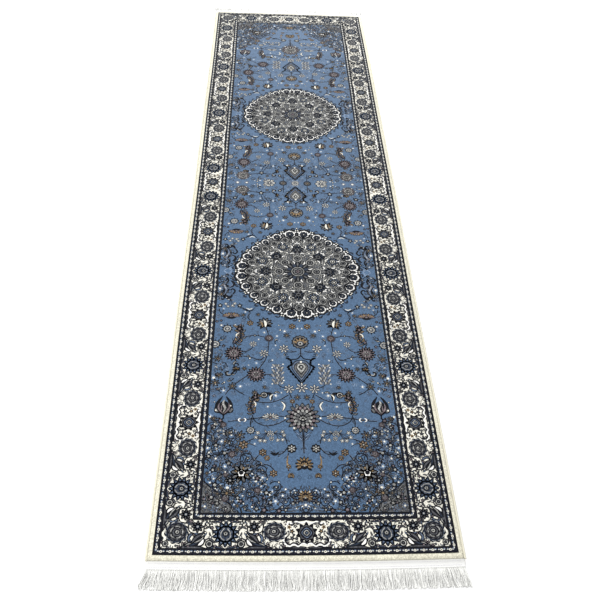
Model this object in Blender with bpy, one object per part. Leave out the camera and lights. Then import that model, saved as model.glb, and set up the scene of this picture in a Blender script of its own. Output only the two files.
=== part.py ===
"""Runner rug, 80 x 300 cm, with a sewn-on fringe at each end.

A ground weave carries the cut pile. The pile is laid out in the rug's design zones: a plain margin, an outer
guard band, the main border, an inner guard band, the field and two medallions. Each long edge is a cord wrapped
in overcast yarn. Each end has a bare hem, a tape sewn over it and a fringe that comes out from under the tape.

+X runs across the rug, +Y along it and +Z up. The origin is the middle of the underside, on the floor.
"""

import math

import bmesh
import bpy
from mathutils import Vector

# Driving dimensions, in metres.
RUG_WIDTH = 0.800  # over both overcast edges
PILE_LENGTH = 3.000  # from one end of the pile to the other, without the tapes and fringes
GAP = 0.0003  # between neighbouring pieces

GROUND_THICKNESS = 0.0024
PILE_HEIGHT = 0.0080

END_MARGIN = 0.012  # plain pile outside the outer guard, at each end
SIDE_MARGIN = 0.018  # the same at each side, with the overcast edge
OUTER_GUARD_WIDTH = 0.018
MAIN_BORDER_WIDTH = 0.073
INNER_GUARD_WIDTH = 0.020

MEDALLION_ACROSS = 0.424  # over its lobes, along X
MEDALLION_ALONG = 0.420  # over its lobes, along Y
MEDALLION_CENTRE = 0.496  # from the middle of the rug, along Y
MEDALLION_LOBES = 24
LOBE_DEPTH = 0.009
LOBE_STEPS = 6  # straight sides that draw one lobe

EDGE_CORD_RADIUS = 0.0022
OVERCAST_THICKNESS = 0.0010
ROUND_STEPS = 24

HEM_LENGTH = 0.010  # bare ground weave past the pile, under the tape
TAPE_WIDTH = 0.020
TAPE_THICKNESS = 0.0012
SEAM_RADIUS = 0.0004
SEAM_INSET = 0.005  # from the tape's long edges
SEAM_END_INSET = 0.004  # from the tape's short ends
SEAM_STEPS = 8

FRINGE_LENGTH = 0.050  # free length of the strands
FRINGE_BUNCHES = 52
BUNCH_GAP = 0.0030  # between two bunches where they leave the heading
BUNCH_TAPER = 0.80  # a bunch's width at its tip over its width at the heading
BUNCH_SWAY = 0.0011  # the most that a tip leans sideways
BUNCH_UNEVEN = 0.004  # the most that a tip falls short of the full length

# Heights and outlines that follow from them. The ground weave and the fringe both lie on the floor.
PILE_LOW = GROUND_THICKNESS + GAP
PILE_HIGH = PILE_LOW + PILE_HEIGHT
TAPE_LOW = GROUND_THICKNESS + GAP
TAPE_HIGH = TAPE_LOW + TAPE_THICKNESS

OVERCAST_BORE = EDGE_CORD_RADIUS + GAP
OVERCAST_RADIUS = OVERCAST_BORE + OVERCAST_THICKNESS
EDGE_CENTRE = RUG_WIDTH / 2 - OVERCAST_RADIUS
GROUND_EDGE = EDGE_CENTRE - EDGE_CORD_RADIUS - GAP
PILE_EDGE = EDGE_CENTRE - OVERCAST_RADIUS - GAP / 2
GUARD_EDGE = RUG_WIDTH / 2 - SIDE_MARGIN
PILE_END = PILE_LENGTH / 2
GUARD_END = PILE_END - END_MARGIN
HEM_END = PILE_END + HEM_LENGTH
TAPE_START = PILE_END + GAP / 2
TAPE_END = TAPE_START + TAPE_WIDTH
HEADING_START = HEM_END + GAP
FRINGE_END = TAPE_END + FRINGE_LENGTH

ENDS = {"front": -1, "back": 1}
SIDES = {"left": -1, "right": 1}


def clear_scene():
    for obj in list(bpy.data.objects):
        bpy.data.objects.remove(obj)


def yarn(name, colour, roughness=0.9):
    """A matt textile finish."""
    material = bpy.data.materials.new(name)
    material.use_nodes = True
    shader = material.node_tree.nodes["Principled BSDF"]
    shader.inputs["Base Color"].default_value = (*colour, 1)
    shader.inputs["Roughness"].default_value = roughness
    shader.inputs["Metallic"].default_value = 0
    return material


def add_object(name, mesh, material):
    mesh.materials.append(material)
    obj = bpy.data.objects.new(name, mesh)
    bpy.context.scene.collection.objects.link(obj)
    return obj


def extruded(name, outline, travel, material):
    """A closed solid: a flat outline of 3-D points, swept along travel."""
    shape = bmesh.new()
    face = shape.faces.new([shape.verts.new(point) for point in outline])
    swept = bmesh.ops.extrude_face_region(shape, geom=[face])
    moved = [item for item in swept["geom"] if isinstance(item, bmesh.types.BMVert)]
    bmesh.ops.translate(shape, verts=moved, vec=travel)
    bmesh.ops.recalc_face_normals(shape, faces=shape.faces)
    mesh = bpy.data.meshes.new(name)
    shape.to_mesh(mesh)
    shape.free()
    return add_object(name, mesh, material)


def slab(name, outline, low, high, material):
    """A plate of that XY outline between two heights."""
    points = [(x, y, low) for x, y in outline]
    return extruded(name, points, Vector((0, 0, high - low)), material)


def rectangle(x0, x1, y0, y1):
    return [(x0, y0), (x1, y0), (x1, y1), (x0, y1)]


def inset(outline, distance):
    """A convex outline, given anticlockwise, with each side moved inwards."""
    corners = [Vector(point) for point in outline]
    moved = []
    for index, corner in enumerate(corners):
        before = (corner - corners[index - 1]).normalized()
        after = (corners[(index + 1) % len(corners)] - corner).normalized()
        inward = Vector((-before.y, before.x)) + Vector((-after.y, after.x))
        moved.append(corner + inward * distance / (1 + before.dot(after)))
    return moved


def circle(centre_x, centre_z, radius, y, steps):
    turns = [2 * math.pi * step / steps for step in range(steps)]
    return [(centre_x + radius * math.cos(a), y, centre_z + radius * math.sin(a)) for a in turns]


def ground_weave(material):
    outline = rectangle(-GROUND_EDGE, GROUND_EDGE, -HEM_END, HEM_END)
    slab("ground_weave", outline, 0, GROUND_THICKNESS, material)


def framed_strips(prefix, outer, inner, material):
    """Four mitred strips between two rectangles, each given as (half width, half length)."""
    (ox, oy), (ix, iy) = outer, inner
    strips = {
        "front": [(-ox, -oy), (ox, -oy), (ix, -iy), (-ix, -iy)],
        "right": [(ox, -oy), (ox, oy), (ix, iy), (ix, -iy)],
        "back": [(ox, oy), (-ox, oy), (-ix, iy), (ix, iy)],
        "left": [(-ox, oy), (-ox, -oy), (-ix, -iy), (-ix, iy)],
    }
    for place, outline in strips.items():
        slab(f"{prefix}_{place}", inset(outline, GAP / 2), PILE_LOW, PILE_HIGH, material)


def medallion_outline(grow=0.0):
    """The medallion's lobed outline about its own centre."""
    points = []
    steps = MEDALLION_LOBES * LOBE_STEPS
    for step in range(steps):
        turn = 2 * math.pi * step / steps
        lobe = LOBE_DEPTH * (1 - abs(math.sin(turn * MEDALLION_LOBES / 2)))
        across = MEDALLION_ACROSS / 2 - lobe + grow
        along = MEDALLION_ALONG / 2 - lobe + grow
        points.append((across * math.cos(turn), along * math.sin(turn)))
    return points


def pile(materials):
    margin = (PILE_EDGE, PILE_END)
    guard = (GUARD_EDGE, GUARD_END)
    border = tuple(side - OUTER_GUARD_WIDTH for side in guard)
    inner_guard = tuple(side - MAIN_BORDER_WIDTH for side in border)
    field = tuple(side - INNER_GUARD_WIDTH for side in inner_guard)
    framed_strips("pile_margin", margin, guard, materials["margin"])
    framed_strips("pile_outer_guard", guard, border, materials["guard"])
    framed_strips("pile_main_border", border, inner_guard, materials["border"])
    framed_strips("pile_inner_guard", inner_guard, field, materials["guard"])
    field_outline = inset(rectangle(-field[0], field[0], -field[1], field[1]), GAP / 2)
    field_pile = slab("pile_field", field_outline, PILE_LOW, PILE_HIGH, materials["field"])
    for place, sign in ENDS.items():
        centre = sign * MEDALLION_CENTRE
        outline = [(x, y + centre) for x, y in medallion_outline()]
        slab(f"pile_medallion_{place}", outline, PILE_LOW, PILE_HIGH, materials["medallion"])
        opening = [(x, y + centre) for x, y in medallion_outline(grow=GAP)]
        cut(field_pile, slab(f"opening_{place}", opening, 0, 2 * PILE_HIGH, materials["field"]))


def cut(obj, cutter):
    """Takes the cutter's shape out of obj. The cutter isn't part of the rug."""
    cutter.hide_render = True
    cutter.display_type = "WIRE"
    modifier = obj.modifiers.new(f"cut_{cutter.name}", "BOOLEAN")
    modifier.operation = "DIFFERENCE"
    modifier.object = cutter


def edge(place, sign, cord_material, overcast_material):
    """One long edge: a cord, and the overcast yarn round it, open towards the ground weave that it grips."""
    centre = sign * EDGE_CENTRE
    length = Vector((0, 2 * PILE_END, 0))
    cord = circle(centre, OVERCAST_RADIUS, EDGE_CORD_RADIUS, -PILE_END, ROUND_STEPS)
    extruded(f"edge_cord_{place}", cord, length, cord_material)
    sleeve = circle(centre, OVERCAST_RADIUS, OVERCAST_RADIUS, -PILE_END, ROUND_STEPS)
    overcast = extruded(f"edge_overcast_{place}", sleeve, length, overcast_material)
    bore = circle(centre, OVERCAST_RADIUS, OVERCAST_BORE, -2 * PILE_END, ROUND_STEPS)
    cut(overcast, extruded(f"bore_{place}", bore, 2 * length, overcast_material))
    slot = rectangle(*sorted((0, sign * (GROUND_EDGE + GAP))), -2 * PILE_END, 2 * PILE_END)
    cut(overcast, slab(f"slot_{place}", slot, -OVERCAST_RADIUS, GROUND_THICKNESS + GAP, overcast_material))


def tape(place, sign, material):
    start, end = sorted((sign * TAPE_START, sign * TAPE_END))
    outline = rectangle(-GROUND_EDGE, GROUND_EDGE, start, end)
    slab(f"fringe_tape_{place}", outline, TAPE_LOW, TAPE_HIGH, material)


def seam(name, y, material):
    """One row of stitching, drawn as the thread that lies along the top of the tape."""
    half = GROUND_EDGE - SEAM_END_INSET
    height = TAPE_HIGH + GAP + SEAM_RADIUS
    turns = [2 * math.pi * (step + 0.5) / SEAM_STEPS for step in range(SEAM_STEPS)]
    section = [(-half, y + SEAM_RADIUS * math.cos(a), height + SEAM_RADIUS * math.sin(a)) for a in turns]
    return extruded(name, section, Vector((2 * half, 0, 0)), material)


def fringe(place, sign, material):
    """A heading that lies under the tape, and the bunches of strands that leave it."""
    pitch = 2 * GROUND_EDGE / FRINGE_BUNCHES
    root = (pitch - BUNCH_GAP) / 2
    outline = [(GROUND_EDGE, HEADING_START), (-GROUND_EDGE, HEADING_START)]
    for index in range(FRINGE_BUNCHES):
        centre = -GROUND_EDGE + pitch * (index + 0.5)
        lean = centre + BUNCH_SWAY * math.sin(2.4 * index)
        tip = FRINGE_END - BUNCH_UNEVEN * (0.5 + 0.5 * math.sin(4.1 * index))
        tip_half = root * BUNCH_TAPER
        left_root = -GROUND_EDGE if index == 0 else centre - root
        right_root = GROUND_EDGE if index == FRINGE_BUNCHES - 1 else centre + root
        outline += [(left_root, TAPE_END), (lean - tip_half, tip), (lean + tip_half, tip)]
        outline += [(right_root, TAPE_END)]
    mirrored = [(x, sign * y) for x, y in outline]
    slab(f"fringe_{place}", mirrored, 0, GROUND_THICKNESS, material)


def build():
    clear_scene()
    cream = yarn("cream_pile", (0.80, 0.78, 0.66))
    ivory = yarn("ivory_pile", (0.78, 0.76, 0.68))
    navy = yarn("navy_pile", (0.03, 0.035, 0.08))
    blue = yarn("blue_pile", (0.10, 0.22, 0.44))
    taupe = yarn("taupe_pile", (0.33, 0.31, 0.28))
    ground = yarn("jute_ground", (0.62, 0.55, 0.42))
    cord = yarn("cotton_cord", (0.85, 0.84, 0.78))
    white = yarn("white_cotton", (0.90, 0.90, 0.88))
    thread = yarn("seam_thread", (0.80, 0.79, 0.82), roughness=0.7)

    ground_weave(ground)
    pile({"margin": cream, "guard": navy, "border": ivory, "field": blue, "medallion": taupe})
    for place, sign in SIDES.items():
        edge(place, sign, cord, cream)
    for place, sign in ENDS.items():
        tape(place, sign, white)
        seam(f"tape_seam_inner_{place}", sign * (TAPE_START + SEAM_INSET), thread)
        seam(f"tape_seam_outer_{place}", sign * (TAPE_END - SEAM_INSET), thread)
        fringe(place, sign, white)


build()
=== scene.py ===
import bmesh
import bpy
import math
import random
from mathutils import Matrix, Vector


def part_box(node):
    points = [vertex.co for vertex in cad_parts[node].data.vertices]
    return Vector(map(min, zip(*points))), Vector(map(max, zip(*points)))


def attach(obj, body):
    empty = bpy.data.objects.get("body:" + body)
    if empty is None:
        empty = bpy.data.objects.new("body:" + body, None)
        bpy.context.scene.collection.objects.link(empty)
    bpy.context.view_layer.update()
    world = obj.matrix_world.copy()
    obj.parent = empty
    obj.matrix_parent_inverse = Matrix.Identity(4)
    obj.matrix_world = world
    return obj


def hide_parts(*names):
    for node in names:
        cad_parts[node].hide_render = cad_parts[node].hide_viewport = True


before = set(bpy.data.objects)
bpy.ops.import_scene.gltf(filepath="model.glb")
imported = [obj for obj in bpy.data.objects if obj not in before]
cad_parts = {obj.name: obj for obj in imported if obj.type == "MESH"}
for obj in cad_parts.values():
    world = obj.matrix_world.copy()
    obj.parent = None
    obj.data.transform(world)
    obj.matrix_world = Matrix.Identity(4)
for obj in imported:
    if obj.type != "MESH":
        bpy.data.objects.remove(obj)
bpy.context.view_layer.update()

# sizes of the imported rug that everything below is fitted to
fieldBox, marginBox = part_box("pile_field"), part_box("pile_margin_right")
groundBox, tapeBox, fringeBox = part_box("ground_weave"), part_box("fringe_tape_back"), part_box("fringe_back")
edgeBox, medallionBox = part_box("edge_overcast_right"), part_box("pile_medallion_back")
pileBase, pileTop = fieldBox[0].z, fieldBox[1].z
pileEdge, pileEnd = marginBox[1].x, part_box("pile_margin_back")[1].y
medallionY = (medallionBox[0].y + medallionBox[1].y) / 2


def bandHalf(name):  # half width and half length over one ring of the design
    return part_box(f"pile_{name}_right")[1].x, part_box(f"pile_{name}_back")[1].y


outerHalf, borderHalf, innerHalf = bandHalf("outer_guard"), bandHalf("main_border"), bandHalf("inner_guard")
fieldHalf = (fieldBox[1].x, fieldBox[1].y)

yarnColours = {
    "navy": "#0C0F17",
    "navySlate": "#1B1F2A",
    "slate": "#2C3647",
    "steel": "#64738A",
    "taupe": "#6A6B6C",
    "stone": "#ABABA7",
    "gold": "#8A7456",
    "mauve": "#776C70",
    "ivory": "#F1EEE1",
    "white": "#FAF9F5",
    "blue": "#506B8A",
    "sky": "#7F93AD",
    "cream": "#EAE6D2",
}


def toLinear(hexColour):
    parts = [int(hexColour[i:i + 2], 16) / 255 for i in (1, 3, 5)]
    return tuple(c / 12.92 if c <= 0.04045 else ((c + 0.055) / 1.055) ** 2.4 for c in parts) + (1.0,)


class Wire:  # one value in a node tree; arithmetic with wires adds math nodes
    def __init__(self, socket):
        self.socket = socket

    def maths(self, operation, *others, behind=False):
        values = (*others, self) if behind else (self, *others)
        tree = self.socket.id_data
        return Wire(addNode(tree, "ShaderNodeMath", dict(enumerate(values)), operation=operation).outputs[0])

    def __add__(self, other):
        return self.maths("ADD", other)

    def __sub__(self, other):
        return self.maths("SUBTRACT", other)

    def __mul__(self, other):
        return self.maths("MULTIPLY", other)

    def __truediv__(self, other):
        return self.maths("DIVIDE", other)

    def __pow__(self, other):
        return self.maths("POWER", other)

    def __rsub__(self, other):
        return self.maths("SUBTRACT", other, behind=True)


def addNode(tree, kind, feeds=None, **traits):  # feeds: a value, a wire or another node for each socket
    node = tree.nodes.new(kind)
    for trait, value in traits.items():
        setattr(node, trait, value)
    for socket, value in (feeds or {}).items():
        if isinstance(value, Wire):
            value = value.socket
        elif isinstance(value, bpy.types.Node):
            value = value.outputs[0]
        if isinstance(value, bpy.types.NodeSocket):
            tree.links.new(value, node.inputs[socket])
        else:
            node.inputs[socket].default_value = value
    return node


def wired(tree, kind, feeds=None, output=0, **traits):
    return Wire(addNode(tree, kind, feeds, **traits).outputs[output])


def remap(tree, value, **ends):  # a value moved from one range to another
    return wired(tree, "ShaderNodeMapRange", {
        "Value": value, **{name.replace("_", " "): end for name, end in ends.items()}})


def textures(tree, **noises):  # noise textures on the object's own coordinates, given as scale and detail
    place = addNode(tree, "ShaderNodeTexCoord").outputs["Object"]
    return place, [wired(tree, "ShaderNodeTexNoise", {"Vector": place, "Scale": scale, "Detail": detail}, "Fac")
                   for scale, detail in noises.values()]


def finishShader(tree, shader, height, strength, distance, **values):
    bump = addNode(tree, "ShaderNodeBump", {"Height": height, "Strength": strength, "Distance": distance})
    tree.links.new(bump.outputs["Normal"], shader.inputs["Normal"])
    for name, value in values.items():
        shader.inputs[name.replace("_", " ")].default_value = value


def blend(tree, shader, share, colours):  # the base colour runs between two colours
    mix = addNode(tree, "ShaderNodeMix", {0: share, 6: toLinear(colours[0]), 7: toLinear(colours[1])},
                  data_type="RGBA")
    tree.links.new(mix.outputs[2], shader.inputs["Base Color"])


def meshOf(name, verts, faces):
    mesh = bpy.data.meshes.new(name)
    mesh.from_pydata(verts, [], faces)
    return mesh


def smoothShade(obj):
    for polygon in obj.data.polygons:
        polygon.use_smooth = True


def stand(name, data):  # an object put into the scene
    obj = bpy.data.objects.new(name, data)
    bpy.context.scene.collection.objects.link(obj)
    return obj


def newMaterial(name):
    material = bpy.data.materials.new(name)
    material.use_nodes = True
    tree = material.node_tree
    return material, tree, tree.nodes["Principled BSDF"]


pileLook = {
    "tuftScale": 380,       # knots per metre; the real rug has about 500, drawn coarser so that they show
    "tuftShadeDepth": 0.3,   # painted shade: how dark the gaps between tufts go
    "tuftSpread": 0.34,     # how much one tuft differs from the next in brightness
    "layScale": 2.4,        # size of the patches of painted shading where the pile leans another way
    "layShadeDepth": 0.16,
    "sheen": 0.12,
    "bump": 0.35,
}


def pileMaterial(name, hexColour, look=pileLook):
    # Heat-set pile yarn, cut level: matt, each tuft a little brighter at its tip than in the gaps round it (painted
    # shade in the gaps), painted shading in patches where the pile leans another way, and a soft bloom where it is
    # seen at a low angle.
    material, tree, shader = newMaterial(name)
    scale, shadingSpread, spread = look["tuftScale"], look["layShadeDepth"] / 2, look["tuftSpread"] / 2
    place, (grain, lay) = textures(tree, grain=(scale * 0.45, 3.0), lay=(look["layScale"], 4.0))
    tufts = addNode(tree, "ShaderNodeTexVoronoi", {"Vector": place, "Scale": scale, "Randomness": 0.8})
    # painted shade: the colour darkens from each tuft's middle out to the gaps round it
    gapShade = remap(tree, tufts.outputs["Distance"], From_Min=0.0, From_Max=0.75, To_Min=1.0,
                To_Max=1.0 - look["tuftShadeDepth"])
    # painted shading: patches where the pile leans another way are made lighter or darker
    layShading = remap(tree, lay, From_Min=0.3, From_Max=0.7, To_Min=1.0 - shadingSpread, To_Max=1.0 + shadingSpread)
    speck = remap(tree, grain, From_Min=0.3, From_Max=0.7, To_Min=0.86, To_Max=1.14)
    chance = addNode(tree, "ShaderNodeSeparateColor", {0: tufts.outputs["Color"]})
    own = remap(tree, chance, To_Min=1.0 - spread, To_Max=1.0 + spread)
    tone = addNode(tree, "ShaderNodeVectorMath", {0: toLinear(hexColour)[:3], "Scale": gapShade * layShading * speck * own},
                   operation="SCALE")
    tree.links.new(tone.outputs[0], shader.inputs["Base Color"])
    finishShader(tree, shader, grain - tufts.outputs["Distance"], look["bump"], 0.0012, Roughness=0.92,
                 Specular_IOR_Level=0.2, Sheen_Weight=look["sheen"], Sheen_Roughness=0.45)
    return material


# the small motifs are knotted from short ends, so their colours break up more than the grounds do and the painted
# shade in the gaps between their tufts is deeper; the blue ground has the most bloom and the dark yarns the least
motifLook = {**pileLook, "tuftScale": 300, "tuftShadeDepth": 0.42, "tuftSpread": 0.9}
groundLook = {**pileLook, "sheen": 0.31, "tuftSpread": 0.44}
darkLook = {**pileLook, "sheen": 0.02}
yarnLooks = {**dict.fromkeys(("stone", "taupe", "steel", "mauve", "gold", "sky"), motifLook), "blue": groundLook,
             "navy": darkLook, "navySlate": darkLook}
yarns = {name: pileMaterial(f"{name}_pile_yarn", colour, yarnLooks.get(name, pileLook)) for name,
         colour in yarnColours.items()}
borderYarns = {**yarns, "taupe": pileMaterial("dark_taupe_pile_yarn", "#54555A", motifLook)}

# The drawing of the pattern. A Draft is a stack of flat shapes, each in one yarn and on one level; higher
# levels hide lower ones, as a darker outline is hidden by the petal woven inside it.


def smoothPath(points, perSpan=4):  # a curve through all the points
    pts = [Vector(p) for p in points]
    if len(pts) < 3:
        return [pts[0].lerp(pts[-1], i / perSpan) for i in range(perSpan + 1)]
    line = []
    for i in range(len(pts) - 1):
        a, b, c, d = pts[max(i - 1, 0)], pts[i], pts[i + 1], pts[min(i + 2, len(pts) - 1)]
        for step in range(perSpan):
            t = step / perSpan
            line.append(0.5 * (2 * b + (c - a) * t + (2 * a - 5 * b + 4 * c - d) * t * t
                               + (3 * b - a - 3 * c + d) * t ** 3))
    return line + [pts[-1]]


def sided(side, *points):  # side is -1 for the left and 1 for the right
    return [(side * x, y) for x, y in points]


class Draft:
    def __init__(self):
        self.shapes = []

    def disc(self, yarn, level, r, lobes=0, depth=0.0, turn=0.0, tall=1.0, steps=0, at=(0, 0)):
        steps = steps or max(12, lobes * 4)
        points = [Vector(at)]
        for i in range(steps):
            a = 2 * math.pi * i / steps
            reach = r * (1 - depth * (1 - (0.5 + 0.5 * math.cos(a * lobes)))) if lobes else r
            b = a + math.radians(turn) + math.pi / 2
            points.append(Vector((at[0] + reach * math.cos(b), at[1] + reach * tall * math.sin(b))))
        faces = [(0, i + 1, (i + 1) % steps + 1) for i in range(steps)]
        self.shapes.append((yarn, level, points, faces))
        return self

    # discs one above the other, each given as yarn, radius and, for a scalloped rim, lobes and depth
    def discs(self, level, *rows, **shared):
        for i, (yarn, *shape) in enumerate(rows):
            self.disc(yarn, level + i, *shape, **shared)
        return self

    # a band along a path; with a belly it is a leaf that is widest in the middle
    def strip(self, yarn, level, path, width, ends=(1.0, 1.0), belly=False, smooth=True, fine=4):
        line = smoothPath(path, fine) if smooth or (belly and len(path) < 3) else [Vector(p) for p in path]
        points = []
        last = len(line) - 1
        for i, p in enumerate(line):
            along = (line[min(i + 1, last)] - line[max(i - 1, 0)]).normalized()
            side = Vector((-along.y, along.x))
            t = i / last
            half = width / 2 * (math.sin(math.pi * (0.04 + 0.92 * t)) if belly
                                else ends[0] * (1 - t) + ends[1] * t)
            points += [p + side * half, p - side * half]
        faces = [(2 * i, 2 * i + 1, 2 * i + 3, 2 * i + 2) for i in range(last)]
        self.shapes.append((yarn, level, points, faces))
        return self

    def petal(self, yarn, level, path, width, smooth=True, fine=4):
        return self.strip(yarn, level, path, width, belly=True, smooth=smooth, fine=fine)

    def leaf(self, level, path, width, fill="taupe", edge="navy", fine=4):
        self.petal(edge, level, path, width, fine=fine)
        line = smoothPath(path, fine)
        inner = line[len(line) // 5: -max(1, len(line) // 5)]
        return self.petal(fill, level + 1, inner, width * 0.42, smooth=False)

    def petals(self, yarn, level, count, inner, outer, width, turn=0.0, fan=360.0, at=(0, 0)):
        for i in range(count):
            share = i / count if fan >= 360 else i / max(count - 1, 1) - 0.5
            a = math.radians(turn + 90 + fan * share)
            d = Vector((math.cos(a), math.sin(a)))
            base = Vector(at)
            mid = (inner + outer) / 2
            self.petal(yarn, level, [base + d * inner, base + d * mid, base + d * outer], width, fine=3)
        return self

    def place(self, other, x, y, size=1.0, turn=0.0, flip=False, lift=0, tall=1.0):
        c, s = math.cos(math.radians(turn)), math.sin(math.radians(turn))
        for yarn, level, points, faces in other.shapes:
            moved = []
            for p in points:
                px, py = (-p.x if flip else p.x) * size, p.y * size * tall
                moved.append(Vector((x + c * px - s * py, y + s * px + c * py)))
            self.shapes.append((yarn, level + lift, moved, faces))
        return self

    # this draft and its mirror image, which lies a part of a level higher so that no two shapes share a plane
    def mirrored(self, acrossX=False, acrossY=None):
        both = Draft()
        both.shapes = list(self.shapes)
        raised = 0.4 if acrossX else 0.2
        for yarn, level, points, faces in self.shapes:
            if acrossX:
                turned = [Vector((-p.x, p.y)) for p in points]
            else:
                turned = [Vector((p.x, 2 * acrossY - p.y)) for p in points]
            both.shapes.append((yarn, level + raised, turned, faces))
        return both


# motifs of the border and field, each about its own centre, 1 unit in radius unless it says otherwise

def petalArcs(d, level, yarn, reach, count, width, turn=0.0, share=0.62):
    # thin crescents round a circle, the edges of overlapping petals
    for i in range(count):
        a = math.radians(turn + 360 / count * i)
        span = math.pi * share / count
        rim = [Vector((math.cos(a + t * span), math.sin(a + t * span))) for t in (-1, 0, 1)]
        d.petal(yarn, level, [rim[0] * reach * 0.93, rim[1] * reach, rim[2] * reach * 0.93], width)
    return d


motifs = {}


def motif(draw):  # keeps what a function draws, under the function's name
    motifs[draw.__name__] = Draft()
    draw(motifs[draw.__name__])


def dot(yarn="ivory"):
    return Draft().disc("slate", 0, 1.1, steps=8).disc(yarn, 1, 0.5, steps=8)


def smallFlower(petal="navy", heart="stone"):
    d = Draft()
    d.petals(petal, 0, 5, 0.05, 1.0, 0.62)
    d.disc(heart, 1, 0.34, steps=8)
    return d


def scroll(turns=1.2, width=0.14, yarn="navy"):
    # a spiral stem that winds into its middle
    line = []
    steps = int(14 * turns)
    for i in range(steps + 1):
        t = i / steps
        a = 2 * math.pi * turns * t
        reach = 1.0 - 0.78 * t
        line.append((reach * math.cos(a), reach * math.sin(a)))
    return Draft().strip(yarn, 0, line, width, ends=(1.0, 0.7), smooth=False)


motifs.update(whiteDot=dot(), darkFlower=smallFlower(), greyFlower=smallFlower("steel", "ivory"),
              brownFlower=smallFlower("navy", "mauve"), skyFlower=smallFlower("sky", "ivory"), scroll=scroll())


@motif
def hookLeaf(d):
    d.strip("navy", 0, [(-0.8, -0.6), (0.0, -0.5), (0.5, 0.0), (0.1, 0.5), (-0.35, 0.25)], 0.3, fine=3)
    d.leaf(0, [(0.2, -0.4), (0.8, 0.1), (0.7, 0.9)], 0.5, "stone", fine=3)


@motif
def borderRose(d):
    # overlapping petals drawn as rings of crescents, with a lighter half-turn near the heart
    d.discs(0, ("navy", 1.0, 11, 0.12), ("slate", 0.9, 11, 0.12))
    petalArcs(d, 2, "stone", 0.88, 11, 0.09, 16)
    d.discs(3, ("navy", 0.78, 9, 0.06), ("taupe", 0.7, 9, 0.08))
    petalArcs(d, 5, "navy", 0.62, 9, 0.1, 20, 0.8)
    d.disc("navy", 6, 0.52)
    petalArcs(d, 7, "stone", 0.49, 5, 0.09, 10, 0.8)
    d.disc("taupe", 7, 0.36, 5, 0.1, at=(0.02, 0))
    d.disc("navy", 8, 0.25, at=(0.03, 0.02))
    d.disc("stone", 9, 0.15, at=(0.05, 0.02))
    d.disc("navy", 10, 0.07, steps=8, at=(0.06, 0.01))


@motif
def bluePalmette(d):
    # a frilled flower, dark to its middle, flecked with grey-blue
    d.petals("navy", 0, 14, 0.5, 1.06, 0.36)
    d.disc("navy", 0, 0.9, 14, 0.1)
    d.petals("slate", 1, 14, 0.66, 0.98, 0.15)
    petalArcs(d, 2, "steel", 0.76, 14, 0.08, 13)
    d.disc("slate", 2, 0.58, 8, 0.14, turn=20)
    petalArcs(d, 3, "steel", 0.5, 8, 0.08, 20)
    d.petals("taupe", 3.5, 8, 0.3, 0.54, 0.12, turn=20)
    for side in (-1, 1):
        d.strip("stone", 4, sided(side, (0.08, -0.5), (0.36, -0.26), (0.34, 0.14), (0.1, 0.46)), 0.06)
    d.discs(5, ("navy", 0.27, 6, 0.14), ("stone", 0.16, 5, 0.3), at=(0, 0.04))
    d.disc("navy", 7, 0.07, steps=8, at=(0, 0.04))


@motif
def scrollPalmette(d):
    d.petals("navy", 0, 10, 0.4, 1.1, 0.4)
    d.discs(0, ("navy", 0.9, 8, 0.14), ("taupe", 0.78, 8, 0.14), ("navy", 0.66, 4, 0.1), ("steel", 0.52, 4, 0.2),
            ("navy", 0.42, 4, 0.12), ("stone", 0.3, 4, 0.2), ("navy", 0.2, 4, 0.1))
    d.disc("steel", 7, 0.09, steps=8)


@motif
def eightPetal(d):
    d.petals("navy", 0, 8, 0.12, 1.06, 0.56)
    d.disc("navy", 0, 0.62)
    d.petals("taupe", 1, 8, 0.42, 0.86, 0.17)
    d.discs(2, ("slate", 0.3), ("stone", 0.16))


@motif
def eyeFlower(d):
    d.discs(0, ("navy", 1.0, 7, 0.1), ("stone", 0.66), ("navy", 0.46), ("taupe", 0.18))


@motif
def fieldRose(d):
    d.petals("navy", 0, 15, 0.5, 1.06, 0.27)
    d.disc("navy", 0, 0.84)
    d.petals("mauve", 1, 15, 0.62, 0.88, 0.12)
    d.disc("mauve", 2, 0.6, 11, 0.14)
    petalArcs(d, 3, "navy", 0.5, 8, 0.09, 10, 0.8)
    d.disc("navy", 4, 0.36, 8, 0.2)
    petalArcs(d, 5, "stone", 0.27, 6, 0.1)
    d.disc("mauve", 5, 0.15)
    d.disc("navy", 6, 0.07, steps=8)


@motif
def starFlower(d):
    d.petals("navy", 0, 7, 0.1, 1.1, 0.46)
    d.petals("taupe", 1, 7, 0.25, 0.75, 0.16)
    d.discs(2, ("navy", 0.3), ("gold", 0.18))


@motif
def ringFlower(d):
    d.petals("navy", 0, 10, 0.6, 1.05, 0.22)
    d.discs(0, ("navy", 0.78), ("stone", 0.64), ("slate", 0.42), ("stone", 0.24))


@motif
def creamBlossom(d):
    d.petals("slate", 0, 7, 0.1, 1.1, 0.5)
    d.petals("stone", 1, 7, 0.28, 0.94, 0.26)
    d.petals("ivory", 2, 7, 0.66, 0.92, 0.11)
    d.petals("slate", 2, 7, 0.1, 0.5, 0.1, turn=26)
    d.disc("slate", 3, 0.28)
    d.disc("ivory", 4, 0.12, steps=8)


@motif
def tanFlower(d):
    d.disc("navy", 0, 1.0, 6, 0.22)
    d.petals("gold", 1, 6, 0.26, 0.86, 0.36)
    d.petals("mauve", 2, 6, 0.4, 0.72, 0.12)
    d.discs(3, ("navy", 0.34), ("stone", 0.18))


@motif
def flatTanFlower(d):
    for i in range(9):
        a = math.radians(-84 + 21 * i)
        u = Vector((math.sin(a) * 1.2, 0.75 * math.cos(a)))
        d.petal("navy", 0.05 * i, [u * 0.15, u * 0.6, u], 0.36)
        d.petal("gold" if i % 2 else "mauve", 1, [u * 0.25, u * 0.6, u * 0.9], 0.2)
        d.petal("navy", 0.05 * i, [u * -0.1, u * -0.35, u * -0.55], 0.26)
    d.discs(2, ("navy", 0.3), ("mauve", 0.18), tall=0.7, at=(0, 0.05))


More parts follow.
